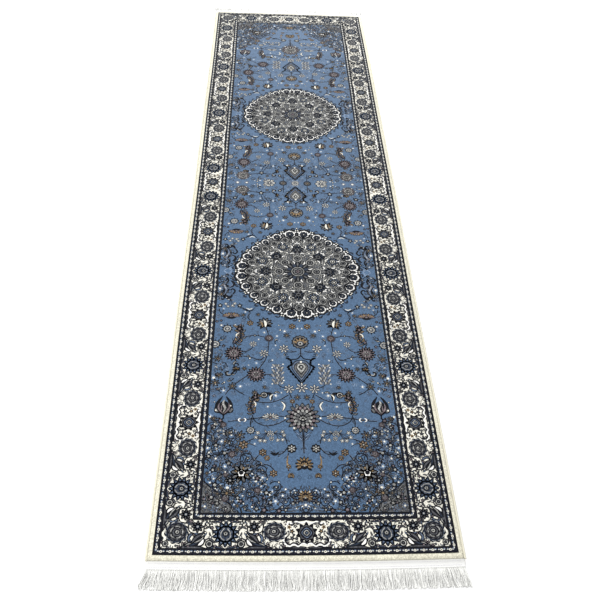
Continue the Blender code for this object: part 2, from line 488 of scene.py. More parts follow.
@motif
def roundPalmette(d):
    d.discs(0, ("navy", 1.0, 14, 0.12), ("taupe", 0.84, 14, 0.1), ("navy", 0.68))
    d.petals("gold", 3, 5, 0.15, 0.85, 0.26, fan=130, at=(0, -0.25))
    d.disc("slate", 4, 0.4, tall=0.9, at=(0, -0.22))
    d.discs(5, ("stone", 0.26), ("navy", 0.12), at=(0, -0.22))


@motif
def shieldPalmette(d):
    # a pointed shield with a beaded rim; its point is at y = -1 and its horns curl outwards at the top
    half = [(0, 0.62), (0.3, 0.6), (0.52, 0.34), (0.56, 0.05), (0.42, -0.28), (0.2, -0.62), (0, -0.92)]

    def shield(level, yarn, grow, drop=0.0):
        line = smoothPath([(x * grow, y * grow + drop) for x, y in half], 5)
        ring = line + [Vector((-p.x, p.y)) for p in reversed(line[1:-1])]
        n = len(ring)
        d.shapes.append((yarn, level, [Vector((0, drop))] + ring, [(0, i + 1, (i + 1) % n + 1) for i in range(n)]))

    for side in (-1, 1):
        rim = smoothPath(sided(side, (0, -1.05), (0.32, -0.6), (0.58, -0.2), (0.74, 0.14), (0.56, 0.3), (0.58, 0.62),
                               (0.78, 0.8)), 4)
        d.strip("navy", 0, rim, 0.1, smooth=False)
        d.strip("navy", 0, sided(side, (0, 1.0), (0.2, 0.74), (0.56, 0.68)), 0.08)
        for bead in rim[2::2]:
            d.disc("navy", 0, 0.075, steps=8, at=(bead.x * 1.06, bead.y - 0.02))
    for level, (yarn, grow, drop) in enumerate((
            ("navy", 1.0, 0), ("steel", 0.9, 0), ("navy", 0.76, 0), ("taupe", 0.68, 0), ("navy", 0.54, 0.05),
            ("stone", 0.45, 0.08), ("navy", 0.26, 0.12), ("stone", 0.12, 0.12))):
        shield(level + 1, yarn, grow, drop)
    d.disc("ivory", 9, 0.07, steps=8, at=(0, 0.5))


@motif
def mainPalmette(d):
    # the largest flower of the field, tiers of overlapping scales over a dark heart; 1 unit is half its width
    d.petals("navy", 0, 17, 0.4, 1.04, 0.27, at=(0, -0.06))
    d.disc("navy", 0, 0.8, tall=0.86, at=(0, -0.06))
    tiers = ((0.98, 17, "taupe", 0.0), (0.8, 15, "mauve", 12.0), (0.62, 12, "stone", 0.0), (0.45, 9, "taupe", 20.0))
    for tier, (reach, count, yarn, turn) in enumerate(tiers):
        d.petals("navy", 2 * tier + 1, count, reach - 0.3, reach, 0.27 - 0.02 * tier, turn=turn, at=(0, -0.06))
        d.petals(yarn, 2 * tier + 2, count, reach - 0.26, reach - 0.03, 0.17, turn=turn, at=(0, -0.06))
    d.disc("navy", 9, 0.26, 7, 0.15, at=(0, -0.14))
    d.petals("stone", 10, 5, 0.04, 0.24, 0.08, fan=150, at=(0, -0.2))
    d.disc("stone", 10, 0.1, at=(0, -0.16))
    for side in (-1, 1):
        d.disc("ivory", 10, 0.06, steps=8, at=(side * 1.02, -0.1))
        d.disc("ivory", 10, 0.06, steps=8, at=(side * 0.52, -0.76))
        for reach, height in ((0.3, 0.62), (0.52, 0.34), (0.4, -0.44)):
            d.strip("stone", 9, sided(side, (reach, height), (reach + 0.07, height - 0.08)), 0.05, smooth=False)


@motif
def leafyPalmette(d):
    # a narrow flower with a white leaf laid across it
    d.petals("navy", 0, 9, 0.1, 1.0, 0.42, fan=270)
    d.disc("navy", 0, 0.55, at=(0, -0.1))
    d.petals("taupe", 1, 7, 0.2, 0.78, 0.2, fan=210)
    d.disc("navy", 2, 0.34, at=(0, -0.12))
    d.petal("ivory", 3, [(0.05, -0.55), (-0.1, 0.0), (-0.02, 0.5)], 0.3)
    d.petal("gold", 3, [(0.35, -0.5), (0.32, 0.0), (0.45, 0.4)], 0.2)


@motif
def ovalCluster(d):
    # an upright oval of overlapping pale petals; 1 unit is half its height
    for row in range(8):
        y = -0.84 + 0.235 * row
        for column in (-1.5, -0.5, 0.5, 1.5):
            x = (column + (0.25 if row % 2 else -0.25)) * 0.22 * (1 - 0.05 * abs(row - 3.5))
            shadingSpread = 0.07 * column
            stalk = [(x - shadingSpread, y - 0.13), (x, y), (x + shadingSpread, y + 0.13)]
            d.petal("slate", 0, stalk, 0.24, fine=2)
            pale = ("stone", "steel", "stone", "taupe")[int(row * 3 + column + 1.5) % 4]
            d.petal(pale, 1 + 0.02 * row, stalk, 0.15, fine=2)
    for x, y in ((0.42, -0.92), (-0.4, 0.92), (-0.44, -0.6), (0.44, 0.62)):
        d.disc("ivory", 3, 0.06, steps=8, at=(x, y))


@motif
def lotus(d):
    # a low fan of pale petals
    for i in range(9):
        a = math.radians(-96 + 24 * i)
        u = Vector((math.sin(a) * 1.05, 0.72 * math.cos(a) - 0.1))
        d.petal("slate", 0, [u * 0.1, u * 0.6, u], 0.26)
        d.petal("stone", 1 + 0.02 * i, [u * 0.2, u * 0.6, u * 0.93], 0.13)
        if i % 2:
            d.petal("ivory", 2, [u * 0.7, u * 0.93], 0.08)
    for side in (-1, 1):
        d.leaf(0, sided(side, (0, -0.1), (0.35, -0.34), (0.75, -0.36)), 0.2, "stone", "slate")
    d.discs(2, ("navy", 0.2), ("mauve", 0.12), steps=8, at=(0, -0.08))


@motif
def bigLeaf(d):
    # an upright cupped leaf of the side field; 1 unit is half its height, its stem at the bottom
    for side in (-1, 1):
        d.petal("navy", 0, sided(side, (0, -0.75), (0.34, -0.35), (0.5, 0.0), (0.42, 0.45), (0.12, 0.95)), 0.34)
        d.petal("mauve", 1, sided(side, (0, -0.62), (0.28, -0.3), (0.4, 0.0), (0.34, 0.36)), 0.14)
        d.strip("taupe", 1, sided(side, (0.45, -0.45), (0.62, -0.15)), 0.16, smooth=False)
        d.petal("navy", 0, sided(side, (0.3, -0.55), (0.62, -0.4), (0.66, -0.05)), 0.16)
    d.disc("navy", 0, 0.42, tall=1.4, at=(0, -0.05))
    d.petal("stone", 1, [(0.04, -0.5), (-0.1, -0.1), (0.08, 0.3), (-0.02, 0.62)], 0.18)
    d.strip("mauve", 2, [(0.16, -0.3), (0.18, 0.1)], 0.08, smooth=False)
    d.strip("navy", 0, [(0, -0.6), (0, -1.05)], 0.12, smooth=False)
    d.disc("ivory", 2, 0.07, steps=8, at=(0.58, -0.3))
    d.disc("ivory", 2, 0.06, steps=8, at=(-0.5, 0.1))


@motif
def curledBud(d):
    # a dark bud on a hooked stem
    d.strip("navy", 0, [(-0.9, 0.7), (-0.4, 0.4), (0.0, 0.0), (0.35, -0.45), (0.85, -0.5), (0.95, -0.05),
                        (0.55, 0.1)], 0.26)
    d.strip("stone", 1, [(0.3, -0.35), (0.7, -0.38), (0.78, -0.08)], 0.14)
    d.petals("navy", 0, 5, 0.0, 0.62, 0.3, fan=200, at=(-0.35, 0.42))
    d.petals("gold", 1, 3, 0.1, 0.42, 0.12, fan=120, at=(-0.35, 0.42))


@motif
def sideScroll(d):
    # a heavy hooked leaf with curls at both ends; 1 unit is half its height
    spine = [(-0.3, -0.62), (-0.06, -0.96), (0.3, -0.72), (0.16, -0.24), (0.34, 0.24), (0.12, 0.66), (0.26, 1.0)]
    d.petal("navy", 0, spine, 0.44)
    d.petal("steel", 1, spine[2:6], 0.16)
    d.petal("stone", 2, spine[3:5], 0.07)
    d.strip("navy", 0, [(-0.3, -0.62), (-0.42, -0.36), (-0.26, -0.16), (-0.1, -0.3)], 0.12)
    d.petal("navy", 0, [(0.2, -0.1), (-0.2, 0.1), (-0.3, 0.4), (-0.08, 0.62)], 0.24)
    d.petal("steel", 1, [(0.0, 0.02), (-0.18, 0.16), (-0.22, 0.36)], 0.1)
    for x, y, turn in ((0.46, -0.4, 30), (0.52, 0.02, 80), (0.44, 0.44, 130), (-0.1, 0.9, 200)):
        d.place(motifs["hookLeaf"], x, y, 0.2, turn)


@motif
def curvedSpray(d):
    # leaves either side of a curved stem, with one white leaf near the tip
    stem = smoothPath([(0.55, 1.0), (0.3, 0.65), (0.0, 0.2), (-0.12, -0.35), (0.1, -0.95)], 3)
    d.strip("navy", 0, stem, 0.1, smooth=False)
    for i in range(1, len(stem) - 1):
        along = (stem[i + 1] - stem[i - 1]).normalized()
        for side in (-1, 1):
            out = Vector((-along.y, along.x)) * side * (0.75 + 0.45 * ((i * 2 + side) % 3 == 0))
            gapShade = stem[i] + out * 0.36 - along * 0.2 * (1 if i % 3 else -1)
            d.petal("navy", 0, [stem[i], stem[i] + out * 0.2, gapShade], 0.22)
            d.petal(("mauve", "taupe", "gold")[(i + side) % 3], 1, [stem[i] + out * 0.05, stem[i] + out * 0.22,
                                                                    gapShade - out * 0.05], 0.09)
    d.place(smallFlower("navy", "mauve"), stem[3].x, stem[3].y, 0.3, 20, lift=1)
    d.petal("ivory", 3, [(0.16, 0.26), (0.3, 0.04), (0.24, -0.24)], 0.1)


motifs["innerSpray"] = Draft().place(motifs["curvedSpray"], 0, 0, flip=True)


@motif
def whiteSprig(d):
    # small pale blossoms on a forked twig
    for a, reach in ((-55, 0.8), (-18, 1.0), (22, 0.86), (58, 0.75)):
        u = Vector((math.sin(math.radians(a)), math.cos(math.radians(a))))
        d.strip("slate", 0, [Vector((0, -0.5)), u * reach * 0.4, u * reach], 0.08)
        d.petals("slate", 0, 5, 0.02, 0.34, 0.2, turn=a, at=(u.x * reach, u.y * reach))
        d.petals("stone", 1, 5, 0.06, 0.26, 0.12, turn=a, at=(u.x * reach, u.y * reach))
        d.disc("ivory", 2, 0.08, steps=8, at=(u.x * reach, u.y * reach))
    d.leaf(0, [(0, -0.5), (-0.3, -0.35), (-0.55, -0.5)], 0.24, "stone", "slate")
    d.leaf(0, [(0, -0.5), (0.3, -0.25), (0.5, -0.3)], 0.24, "stone", "slate")


@motif
def whiteCups(d):
    for side in (-1, 1):
        d.petal("slate", 0, sided(side, (0.25, 0.7), (0.9, 0.3), (0.9, -0.3), (0.25, -0.7)), 0.52)
        d.petal("white", 1, sided(side, (0.35, 0.6), (0.85, 0.25), (0.85, -0.25), (0.35, -0.6)), 0.34)
    d.discs(1, ("navy", 0.3), ("gold", 0.16), steps=8)


@motif
def silverFlower(d):
    # pale petals outlined in navy
    d.disc("navy", 0, 1.0, 8, 0.2)
    d.petals("stone", 1, 6, 0.18, 0.7, 0.26)
    d.disc("navy", 2, 0.22)
    d.disc("ivory", 3, 0.12, steps=8)


@motif
def commaLeaf(d):
    d.leaf(0, [(-0.95, -0.35), (-0.2, 0.25), (0.95, 0.1)], 0.85, "taupe", fine=3)


@motif
def bead(d):
    d.disc("navy", 0, 1.0, steps=10).disc("taupe", 1, 0.62, steps=8)


@motif
def paleLeaf(d):
    d.leaf(0, [(-0.95, -0.35), (-0.2, 0.25), (0.95, 0.1)], 0.8, "ivory", fine=3)


@motif
def twinLeaf(d):
    d.leaf(0, [(-0.1, -0.9), (-0.55, -0.1), (-0.35, 0.9)], 0.62, "steel", fine=3)
    d.leaf(0, [(0.1, -0.9), (0.6, -0.2), (0.55, 0.7)], 0.56, "taupe", fine=3)


@motif
def paleSprig(d):
    # a faint twig, tone on tone with the ground
    d.strip("sky", 0, [(0, -1), (0.1, 0), (-0.1, 1)], 0.16, fine=3)
    for side, y in ((-1, -0.5), (1, -0.2), (-1, 0.2), (1, 0.5)):
        d.petal("sky", 0, sided(side, (0, y), (0.35, y + 0.2), (0.6, y + 0.5)), 0.26, fine=3)


@motif
def steelSprig(d):
    # a grey twig with paired leaves
    d.strip("steel", 0, [(0, -1), (0.12, 0), (-0.1, 1)], 0.18, fine=3)
    for side, y in ((-1, -0.6), (1, -0.4), (-1, 0.0), (1, 0.2), (-1, 0.55)):
        d.leaf(0, sided(side, (0, y), (0.35, y + 0.15), (0.75, y + 0.4)), 0.34, "sky", "slate", fine=3)


@motif
def leafyScroll(d):
    # a spiral stem with leaves on its outside and a flower at its heart
    d.place(scroll(1.15, 0.17), 0, 0)
    for i in range(6):
        a = math.radians(60 * i + 15)
        reach = 1.0 - 0.11 * i
        x, y = reach * math.cos(a), reach * math.sin(a)
        d.leaf(0, [(x, y), (x * 1.12 - 0.22 * y, y * 1.12 + 0.22 * x), (x * 1.05 - 0.5 * y, y * 1.05 + 0.5 * x)],
               0.28, "steel", fine=3)
    d.place(smallFlower("navy", "stone"), -0.05, 0.02, 0.34, lift=1)


@motif
def vLeaves(d):
    for side in (-1, 1):
        for base, reach in ((0.0, 1.0), (-0.45, 0.8)):
            d.petal("slate", 0, sided(side, (0, base - 0.4), (0.4 * reach, base), (reach, base + 0.45)), 0.22)
            d.petal("sky", 1, sided(side, (0.12, base - 0.25), (0.45 * reach, base + 0.02),
                                    (0.85 * reach, base + 0.34)), 0.09)


@motif
def tanPalmette(d):
    d.petals("navy", 0, 11, 0.2, 1.1, 0.36, fan=260, at=(0, -0.2))
    d.petals("gold", 1, 9, 0.25, 0.98, 0.22, fan=230, at=(0, -0.2))
    d.petals("navy", 2, 8, 0.3, 0.9, 0.07, fan=206, at=(0, -0.2))
    d.disc("navy", 3, 0.46, tall=1.3, at=(0, -0.2))
    d.petals("gold", 4, 5, 0.06, 0.44, 0.16, fan=150, at=(0, -0.3))
    d.disc("stone", 5, 0.12, at=(0, -0.3))




def layOut(entries):  # a draft from (motif, x, y, size, turn) rows
    d = Draft()
    for name, x, y, size, turn in entries:
        d.place(motifs[name], x, y, size, turn, lift=3)
    return d


# Small leaves and flowers in whatever ground is left between the motifs already taken, given as (x, y, r).
def fillGaps(draft, corners, taken, kinds, sizes, seed, tries=700, gap=0.0006, inside=None, lift=0):
    rng, kinds, taken = random.Random(seed), kinds.split(), list(taken)
    (x0, y0), (x1, y1) = corners
    for attempt in range(tries):
        x, y, kind = rng.uniform(x0, x1), rng.uniform(y0, y1), rng.choice(kinds)
        size = rng.uniform(*sizes) * (1 - 0.35 * attempt / tries)
        turn = rng.uniform(0, 360)
        if inside and not inside(x, y):
            continue
        if all((x - a) ** 2 + (y - b) ** 2 > (r + size * 0.86 + gap) ** 2 for a, b, r in taken):
            draft.place(motifs[kind], x, y, size, turn, lift=lift + 0.012 * (len(taken) % 8))
            taken.append((x, y, size))
    return taken


# The border repeats a cell that runs from a scroll palmette (0) past a rose to a blue palmette (cellLength).
# y is across the band: the field lies on the + side.
borderSettings = {
    "cellLength": 0.2035,
    "roseAt": 0.0812,
    "roseSize": 0.0325,
    "roseFlatten": 0.86,
    "palmetteSize": 0.0325,
    "scrollSize": 0.0262,
}


def borderFill(s=borderSettings):  # what grows between the rose and the blue palmette
    d = Draft()
    span = s["cellLength"]
    d.place(motifs["eightPetal"], 0.1325, 0.019, 0.0158, lift=5)
    d.place(motifs["eyeFlower"], 0.164, -0.0255, 0.0112, lift=5)
    d.place(motifs["darkFlower"], 0.164, 0.029, 0.0085, 20, lift=3)
    # the dark leaves that fill the outer side, with a white one among them
    d.petal("navy", 0, [(0.086, -0.0365), (0.112, -0.0345), (0.136, -0.029), (0.156, -0.013)], 0.02)
    d.leaf(1, [(0.092, -0.035), (0.114, -0.029), (0.136, -0.019), (0.153, -0.004)], 0.018, "slate")
    d.leaf(2, [(0.098, -0.0355), (0.126, -0.0345), (0.156, -0.036)], 0.01, "taupe")
    d.leaf(2, [(0.119, -0.027), (0.131, -0.009), (0.149, 0.001)], 0.0125, "taupe")
    d.leaf(3, [(0.124, -0.024), (0.141, -0.016), (0.15, -0.006)], 0.008, "stone")
    d.leaf(2, [(0.115, -0.024), (0.112, -0.009), (0.122, 0.001)], 0.0095, "steel")
    d.leaf(3, [(0.104, -0.031), (0.112, -0.026), (0.121, -0.0245)], 0.006, "stone")
    d.petal("white", 6, [(0.137, -0.029), (0.145, -0.023), (0.149, -0.014)], 0.0066)
    d.petal("navy", 4, [(0.134, -0.031), (0.146, -0.025), (0.151, -0.011)], 0.011)
    # stems
    d.strip("navy", 0, [(0.156, 0.036), (0.15, 0.022), (0.149, 0.006), (0.154, -0.004)], 0.0034)
    d.strip("navy", 0, [(0.112, 0.034), (0.109, 0.026), (0.112, 0.008), (0.122, 0.002)], 0.0034)
    d.leaf(0, [(0.122, 0.003), (0.136, -0.001), (0.15, 0.004)], 0.007, "steel")
    d.leaf(0, [(0.15, 0.012), (0.16, 0.018), (0.172, 0.018)], 0.0066)
    d.leaf(0, [(0.104, 0.035), (0.113, 0.03), (0.121, 0.035)], 0.0058)
    d.leaf(0, [(0.166, 0.014), (0.172, 0.008), (0.171, -0.002)], 0.006)
    d.leaf(0, [(0.168, 0.03), (0.182, 0.0325), (0.2, 0.0355)], 0.0066, "slate")
    d.leaf(0, [(0.17, -0.031), (0.186, -0.034), (span, -0.037)], 0.007, "slate")
    d.leaf(0, [(0.16, -0.01), (0.17, -0.016), (0.178, -0.024)], 0.008)
    d.leaf(0, [(0.156, -0.036), (0.166, -0.0345), (0.176, -0.0355)], 0.006, "steel")
    taken = [(0.1325, 0.019, 0.0168), (0.164, -0.0255, 0.012), (span, 0, s["palmetteSize"]),
             (s["roseAt"], 0.006, s["roseSize"] - 0.001), (0.164, 0.029, 0.0085), (0.125, -0.026, 0.012),
             (0.142, -0.013, 0.008), (0.11, -0.03, 0.01), (0.15, 0.01, 0.003), (0.11, 0.016, 0.003),
             (0.148, -0.033, 0.006), (0.1545, 0.013, 0.0058), (0.1135, 0.007, 0.0052)]
    fillGaps(d, ((0.096, -0.035), (span - 0.004, 0.035)), taken, "commaLeaf twinLeaf brownFlower",
             (0.0052, 0.0086), 4, tries=1200, gap=-0.0022)
    return d


def borderScroll(s=borderSettings):  # the white scrolls and small flowers round the scroll palmette
    d = Draft()
    d.petal("navy", 0, [(0.0, -0.034), (0.018, -0.035), (0.04, -0.035), (0.062, -0.036)], 0.01)
    d.strip("navy", 0, [(0.0, -0.026), (0.01, -0.0215), (0.022, -0.029), (0.033, -0.0235), (0.044, -0.0285),
                        (0.053, -0.0205), (0.052, -0.006)], 0.0064)
    d.strip("taupe", 1, [(0.006, -0.0345), (0.02, -0.0352), (0.036, -0.035)], 0.0022)
    d.strip("white", 2, [(0.0, -0.0285), (0.01, -0.024), (0.022, -0.0315), (0.033, -0.0262), (0.044, -0.0312),
                         (0.056, -0.0235), (0.058, -0.012), (0.053, -0.0035)], 0.0036)
    d.petal("navy", 0, [(0.0, 0.0365), (0.014, 0.036), (0.03, 0.0365), (0.052, 0.035)], 0.0062)
    d.strip("navy", 0, [(0.014, 0.025), (0.026, 0.029), (0.037, 0.024), (0.046, 0.0262)], 0.003)
    d.strip("white", 2, [(0.0, 0.033), (0.014, 0.0288), (0.026, 0.033), (0.037, 0.028), (0.046, 0.03),
                         (0.05, 0.0225)], 0.003)
    flowers = ((0.0365, -0.011, 0.0074, "navy", "taupe"), (0.037, 0.007, 0.0072, "navy", "gold"),
               (0.044, 0.018, 0.0062, "gold", "navy"), (0.0245, -0.0215, 0.0062, "navy", "stone"),
               (0.0285, 0.0205, 0.006, "navy", "stone"))
    for x, y, r, petal, heart in flowers:
        d.place(smallFlower(petal, heart), x, y, r, 25, lift=3)
    taken = [(x, y, r) for x, y, r, petal, heart in flowers] + [
        (0, 0.003, s["scrollSize"]), (s["roseAt"], 0.006, s["roseSize"]), (0.048, 0.028, 0.003),
        (0.054, -0.014, 0.004), (0.04, -0.026, 0.003), (0.03, -0.03, 0.004), (0.048, -0.029, 0.003)]
    taken = fillGaps(d, ((0.022, -0.024), (0.062, 0.032)), taken, "bead brownFlower commaLeaf", (0.004, 0.0054),
                     9, tries=900, lift=1, gap=-0.0008)
    fillGaps(d, ((0.05, -0.0355), (0.112, -0.016)), taken, "commaLeaf twinLeaf hookLeaf brownFlower",
             (0.0054, 0.0094), 5, tries=1200, lift=1, gap=-0.003)
    fillGaps(d, ((0.05, 0.02), (0.108, 0.036)), taken, "commaLeaf twinLeaf", (0.0048, 0.0076), 2, tries=900,
             lift=1, gap=-0.0028)
    return d


@motif
def guardCell(d):  # a pale ring between two grey leaves, with a dark line slanting across to the next
    d.disc("ivory", 2, 0.0038, tall=0.8)
    d.disc("navy", 3, 0.0015, steps=8)
    for side in (-1, 1):
        d.petal("steel", 1, sided(side, (0.0042, 0.0008), (0.0072, 0.0018), (0.0102, 0)),
                        0.0048)
        d.petal("ivory", 2, sided(side, (0.0046, 0), (0.009, 0.001)), 0.0024)
    d.strip("navy", 3, [(0.009, -0.0044), (0.0118, 0.0), (0.0146, 0.0044)], 0.0022)


# The field, for the right half; the left half is its mirror image. The tables are in millimetres.


def inMetres(*rows):  # motif, x, y, size and, unless it is 0, turn
    return [(name, x / 1000, y / 1000, size / 1000, *(turn or (0,))) for name, x, y, size, *turn in rows]


besideMedallion = inMetres(  # repeated on both sides of each medallion
    ("tanFlower", 159, -733.5, 12.5, 10), ("leafyPalmette", 112, -735, 27, -12), ("flatTanFlower", 221, -706, 26),
    ("tanFlower", 24, -746.5, 13), ("whiteDot", 62.5, -762, 4.5), ("whiteDot", 67, -742, 3),
    ("greyFlower", 250.5, -744, 9.5), ("curvedSpray", 190, -787, 40, 20), ("ringFlower", 231, -758, 19),
    ("darkFlower", 143, -785, 5.5), ("fieldRose", 98.5, -796, 15), ("creamBlossom", 148, -820, 12.5, 10),
    ("ringFlower", 266, -822, 19), ("creamBlossom", 52, -838, 16.5), ("whiteDot", 43, -829, 4),
    ("fieldRose", 207, -857, 29), ("creamBlossom", 114, -857, 15, 20), ("whiteDot", 157, -877, 4.8),
    ("darkFlower", 163, -868, 4.5), ("curledBud", 206, -930, 23), ("starFlower", 134, -697, 8.5),
    ("darkFlower", 195, -658, 10.5), ("darkFlower", 259, -658, 10), ("whiteSprig", 226, -640, 23, 180),
    ("whiteDot", 240, -622, 3.6), ("whiteDot", 214, -662, 3.6),
)
nearEnd = inMetres(
    ("fieldRose", 137, -938, 28.5), ("ovalCluster", 71, -936, 40), ("starFlower", 207, -981.5, 13.5),
    ("whiteDot", 231, -968, 4), ("darkFlower", 236, -973, 5), ("creamBlossom", 38, -991, 16.5),
    ("eyeFlower", 112, -1013, 12.5), ("innerSpray", 147, -1046, 37, -4), ("hookLeaf", 130, -1016, 11, 20),
    ("starFlower", 140, -1004, 10), ("bigLeaf", 228, -1055, 39), ("tanFlower", 29, -1035, 9),
    ("lotus", 93, -1090, 25.5), ("whiteCups", 174, -1099, 11), ("ringFlower", 149, -1133, 15),
    ("whiteSprig", 74, -1146, 23, 120), ("whiteSprig", 110, -1148, 25, 235), ("creamBlossom", 93, -1142, 9),
    ("creamBlossom", 90, -1160, 8), ("silverFlower", 34, -1191, 15.5), ("tanFlower", 43, -1246, 8),
    ("tanPalmette", 37, -1272, 9.5), ("scroll", 14, -1279, 7), ("tanFlower", 168, -1179, 15, 10),
    ("tanFlower", 114, -1203, 12.5), ("tanFlower", 102, -1220, 9.5, 30), ("tanFlower", 84, -1266, 12),
    ("whiteDot", 70, -1292, 4), ("darkFlower", 103, -1322, 11.5), ("darkFlower", 92, -1349, 10, 20),
    ("darkFlower", 128, -1366, 9.5, 40), ("whiteDot", 140, -1361, 4.2), ("whiteDot", 162, -1352, 3.8),
    ("darkFlower", 244, -1181, 10.5), ("darkFlower", 219, -1205, 11.5, 30), ("darkFlower", 206, -1236, 11),
    ("darkFlower", 262, -1215, 9.5, 10), ("greyFlower", 242, -1222, 8.5), ("darkFlower", 248, -1256, 10, 50),
    ("eightPetal", 200, -1287, 15), ("darkFlower", 240, -1300, 12, 10), ("darkFlower", 217, -1322, 11, 40),
    ("tanFlower", 195, -1318, 9), ("darkFlower", 247, -1335, 11), ("greyFlower", 262, -1360, 8.5),
    ("darkFlower", 231, -1352, 10, 25), ("darkFlower", 178, -1336, 8.5), ("whiteDot", 214, -1262, 4.2),
    ("whiteDot", 162, -1312, 4.8), ("whiteDot", 238, -1310, 3.4), ("whiteSprig", 236, -1146, 15, 30),
    ("greyFlower", 60, -1330, 8), ("greyFlower", 52, -1312, 7), ("whiteDot", 101, -1283, 3.2),
    ("whiteDot", 125, -1297, 3.2), ("darkFlower", 33, -1352, 8), ("darkFlower", 62, -1362, 7),
)
nearMiddle = inMetres(  # mirrored across the rug's middle as well
    ("starFlower", 48, 0, 15.5), ("creamBlossom", 102, 0, 23.5, 30), ("creamBlossom", 118, 12, 10),
    ("whiteDot", 150, -9, 4.6), ("mainPalmette", 208, -48, 29, 180), ("greyFlower", 228, 0, 14),
    ("greyFlower", 192, 0, 12), ("darkFlower", 134, -64, 13.5), ("curledBud", 82, -66, 22, 100),
    ("darkFlower", 61, -47, 9.5), ("whiteDot", 252, -30, 4), ("darkFlower", 234, -95, 12),
    ("whiteDot", 120, -28, 3.5),
)
vines = {
    "besideMedallion": [
        [(100, -781), (104, -765), (108, -752)], [(98.5, -811), (101, -843), (109, -882), (126, -912)],
        [(112, -792), (143, -785), (172, -790)], [(114, -872), (126, -884), (150, -874), (180, -868)],
        [(148, -832), (160, -846), (180, -852)], [(0, -838), (0, -866)], [(12, -848), (30, -852), (52, -846)],
        [(207, -827), (212, -815), (205, -800)], [(270, -893), (250, -900), (232, -894), (224, -912)],
        [(159, -722), (168, -706), (160, -690), (174, -674), (195, -668)], [(240, -702), (256, -690), (262, -672)],
    ],
    "nearEnd": [
        [(137, -938), (164, -945), (192, -968), (207, -981), (226, -1012)], [(110, -938), (90, -938)],
        [(71, -975), (58, -985), (40, -990)], [(207, -981), (190, -1000), (170, -1012)],
        [(146, -1082), (136, -1104), (110, -1118), (78, -1114), (48, -1098)],
        [(54, -1087), (90, -1087), (174, -1100), (214, -1104)],
        [(140, -1036), (100, -1040), (66, -1030), (40, -1012)], [(38, -1005), (30, -1024)],
        [(30, -1044), (26, -1058)], [(149, -1118), (150, -1106), (146, -1090)],
        [(2, -1130), (1, -1170), (0, -1206)], [(68, -1144), (52, -1156), (46, -1176)],
        [(110, -1158), (138, -1160), (160, -1170)], [(48, -1192), (60, -1206), (76, -1208), (92, -1200)],
        [(43, -1205), (46, -1225), (43, -1260)], [(168, -1194), (176, -1225), (172, -1246)],
        [(126, -1212), (140, -1232), (150, -1252)], [(84, -1254), (98, -1242), (120, -1240), (148, -1250)],
        [(70, -1300), (74, -1318), (92, -1336)], [(20, -1330), (52, -1338), (82, -1330)],
    ],
    "nearMiddle": [
        [(48, -60), (47, -28), (46, 0)], [(62, -48), (50, -30)], [(134, -64), (112, -58), (98, -60)],
        [(134, -66), (160, -58), (182, -52)], [(134, -78), (128, -100), (118, -120)],
    ],
}
onAxis = [  # motif, y, size, whether the medallion's far side has it too
    ("roundPalmette", -811, 29, True), ("shieldPalmette", -916, 52, True), ("creamBlossom", -986, 19, False),
    ("mainPalmette", -1088, 50, False), ("vLeaves", -1148, 26, False), ("tanPalmette", -1236, 24, False),
    ("tanPalmette", -1330, 20, False), ("greyFlower", -1356, 10, False), ("whiteDot", -722, 5, True),
]


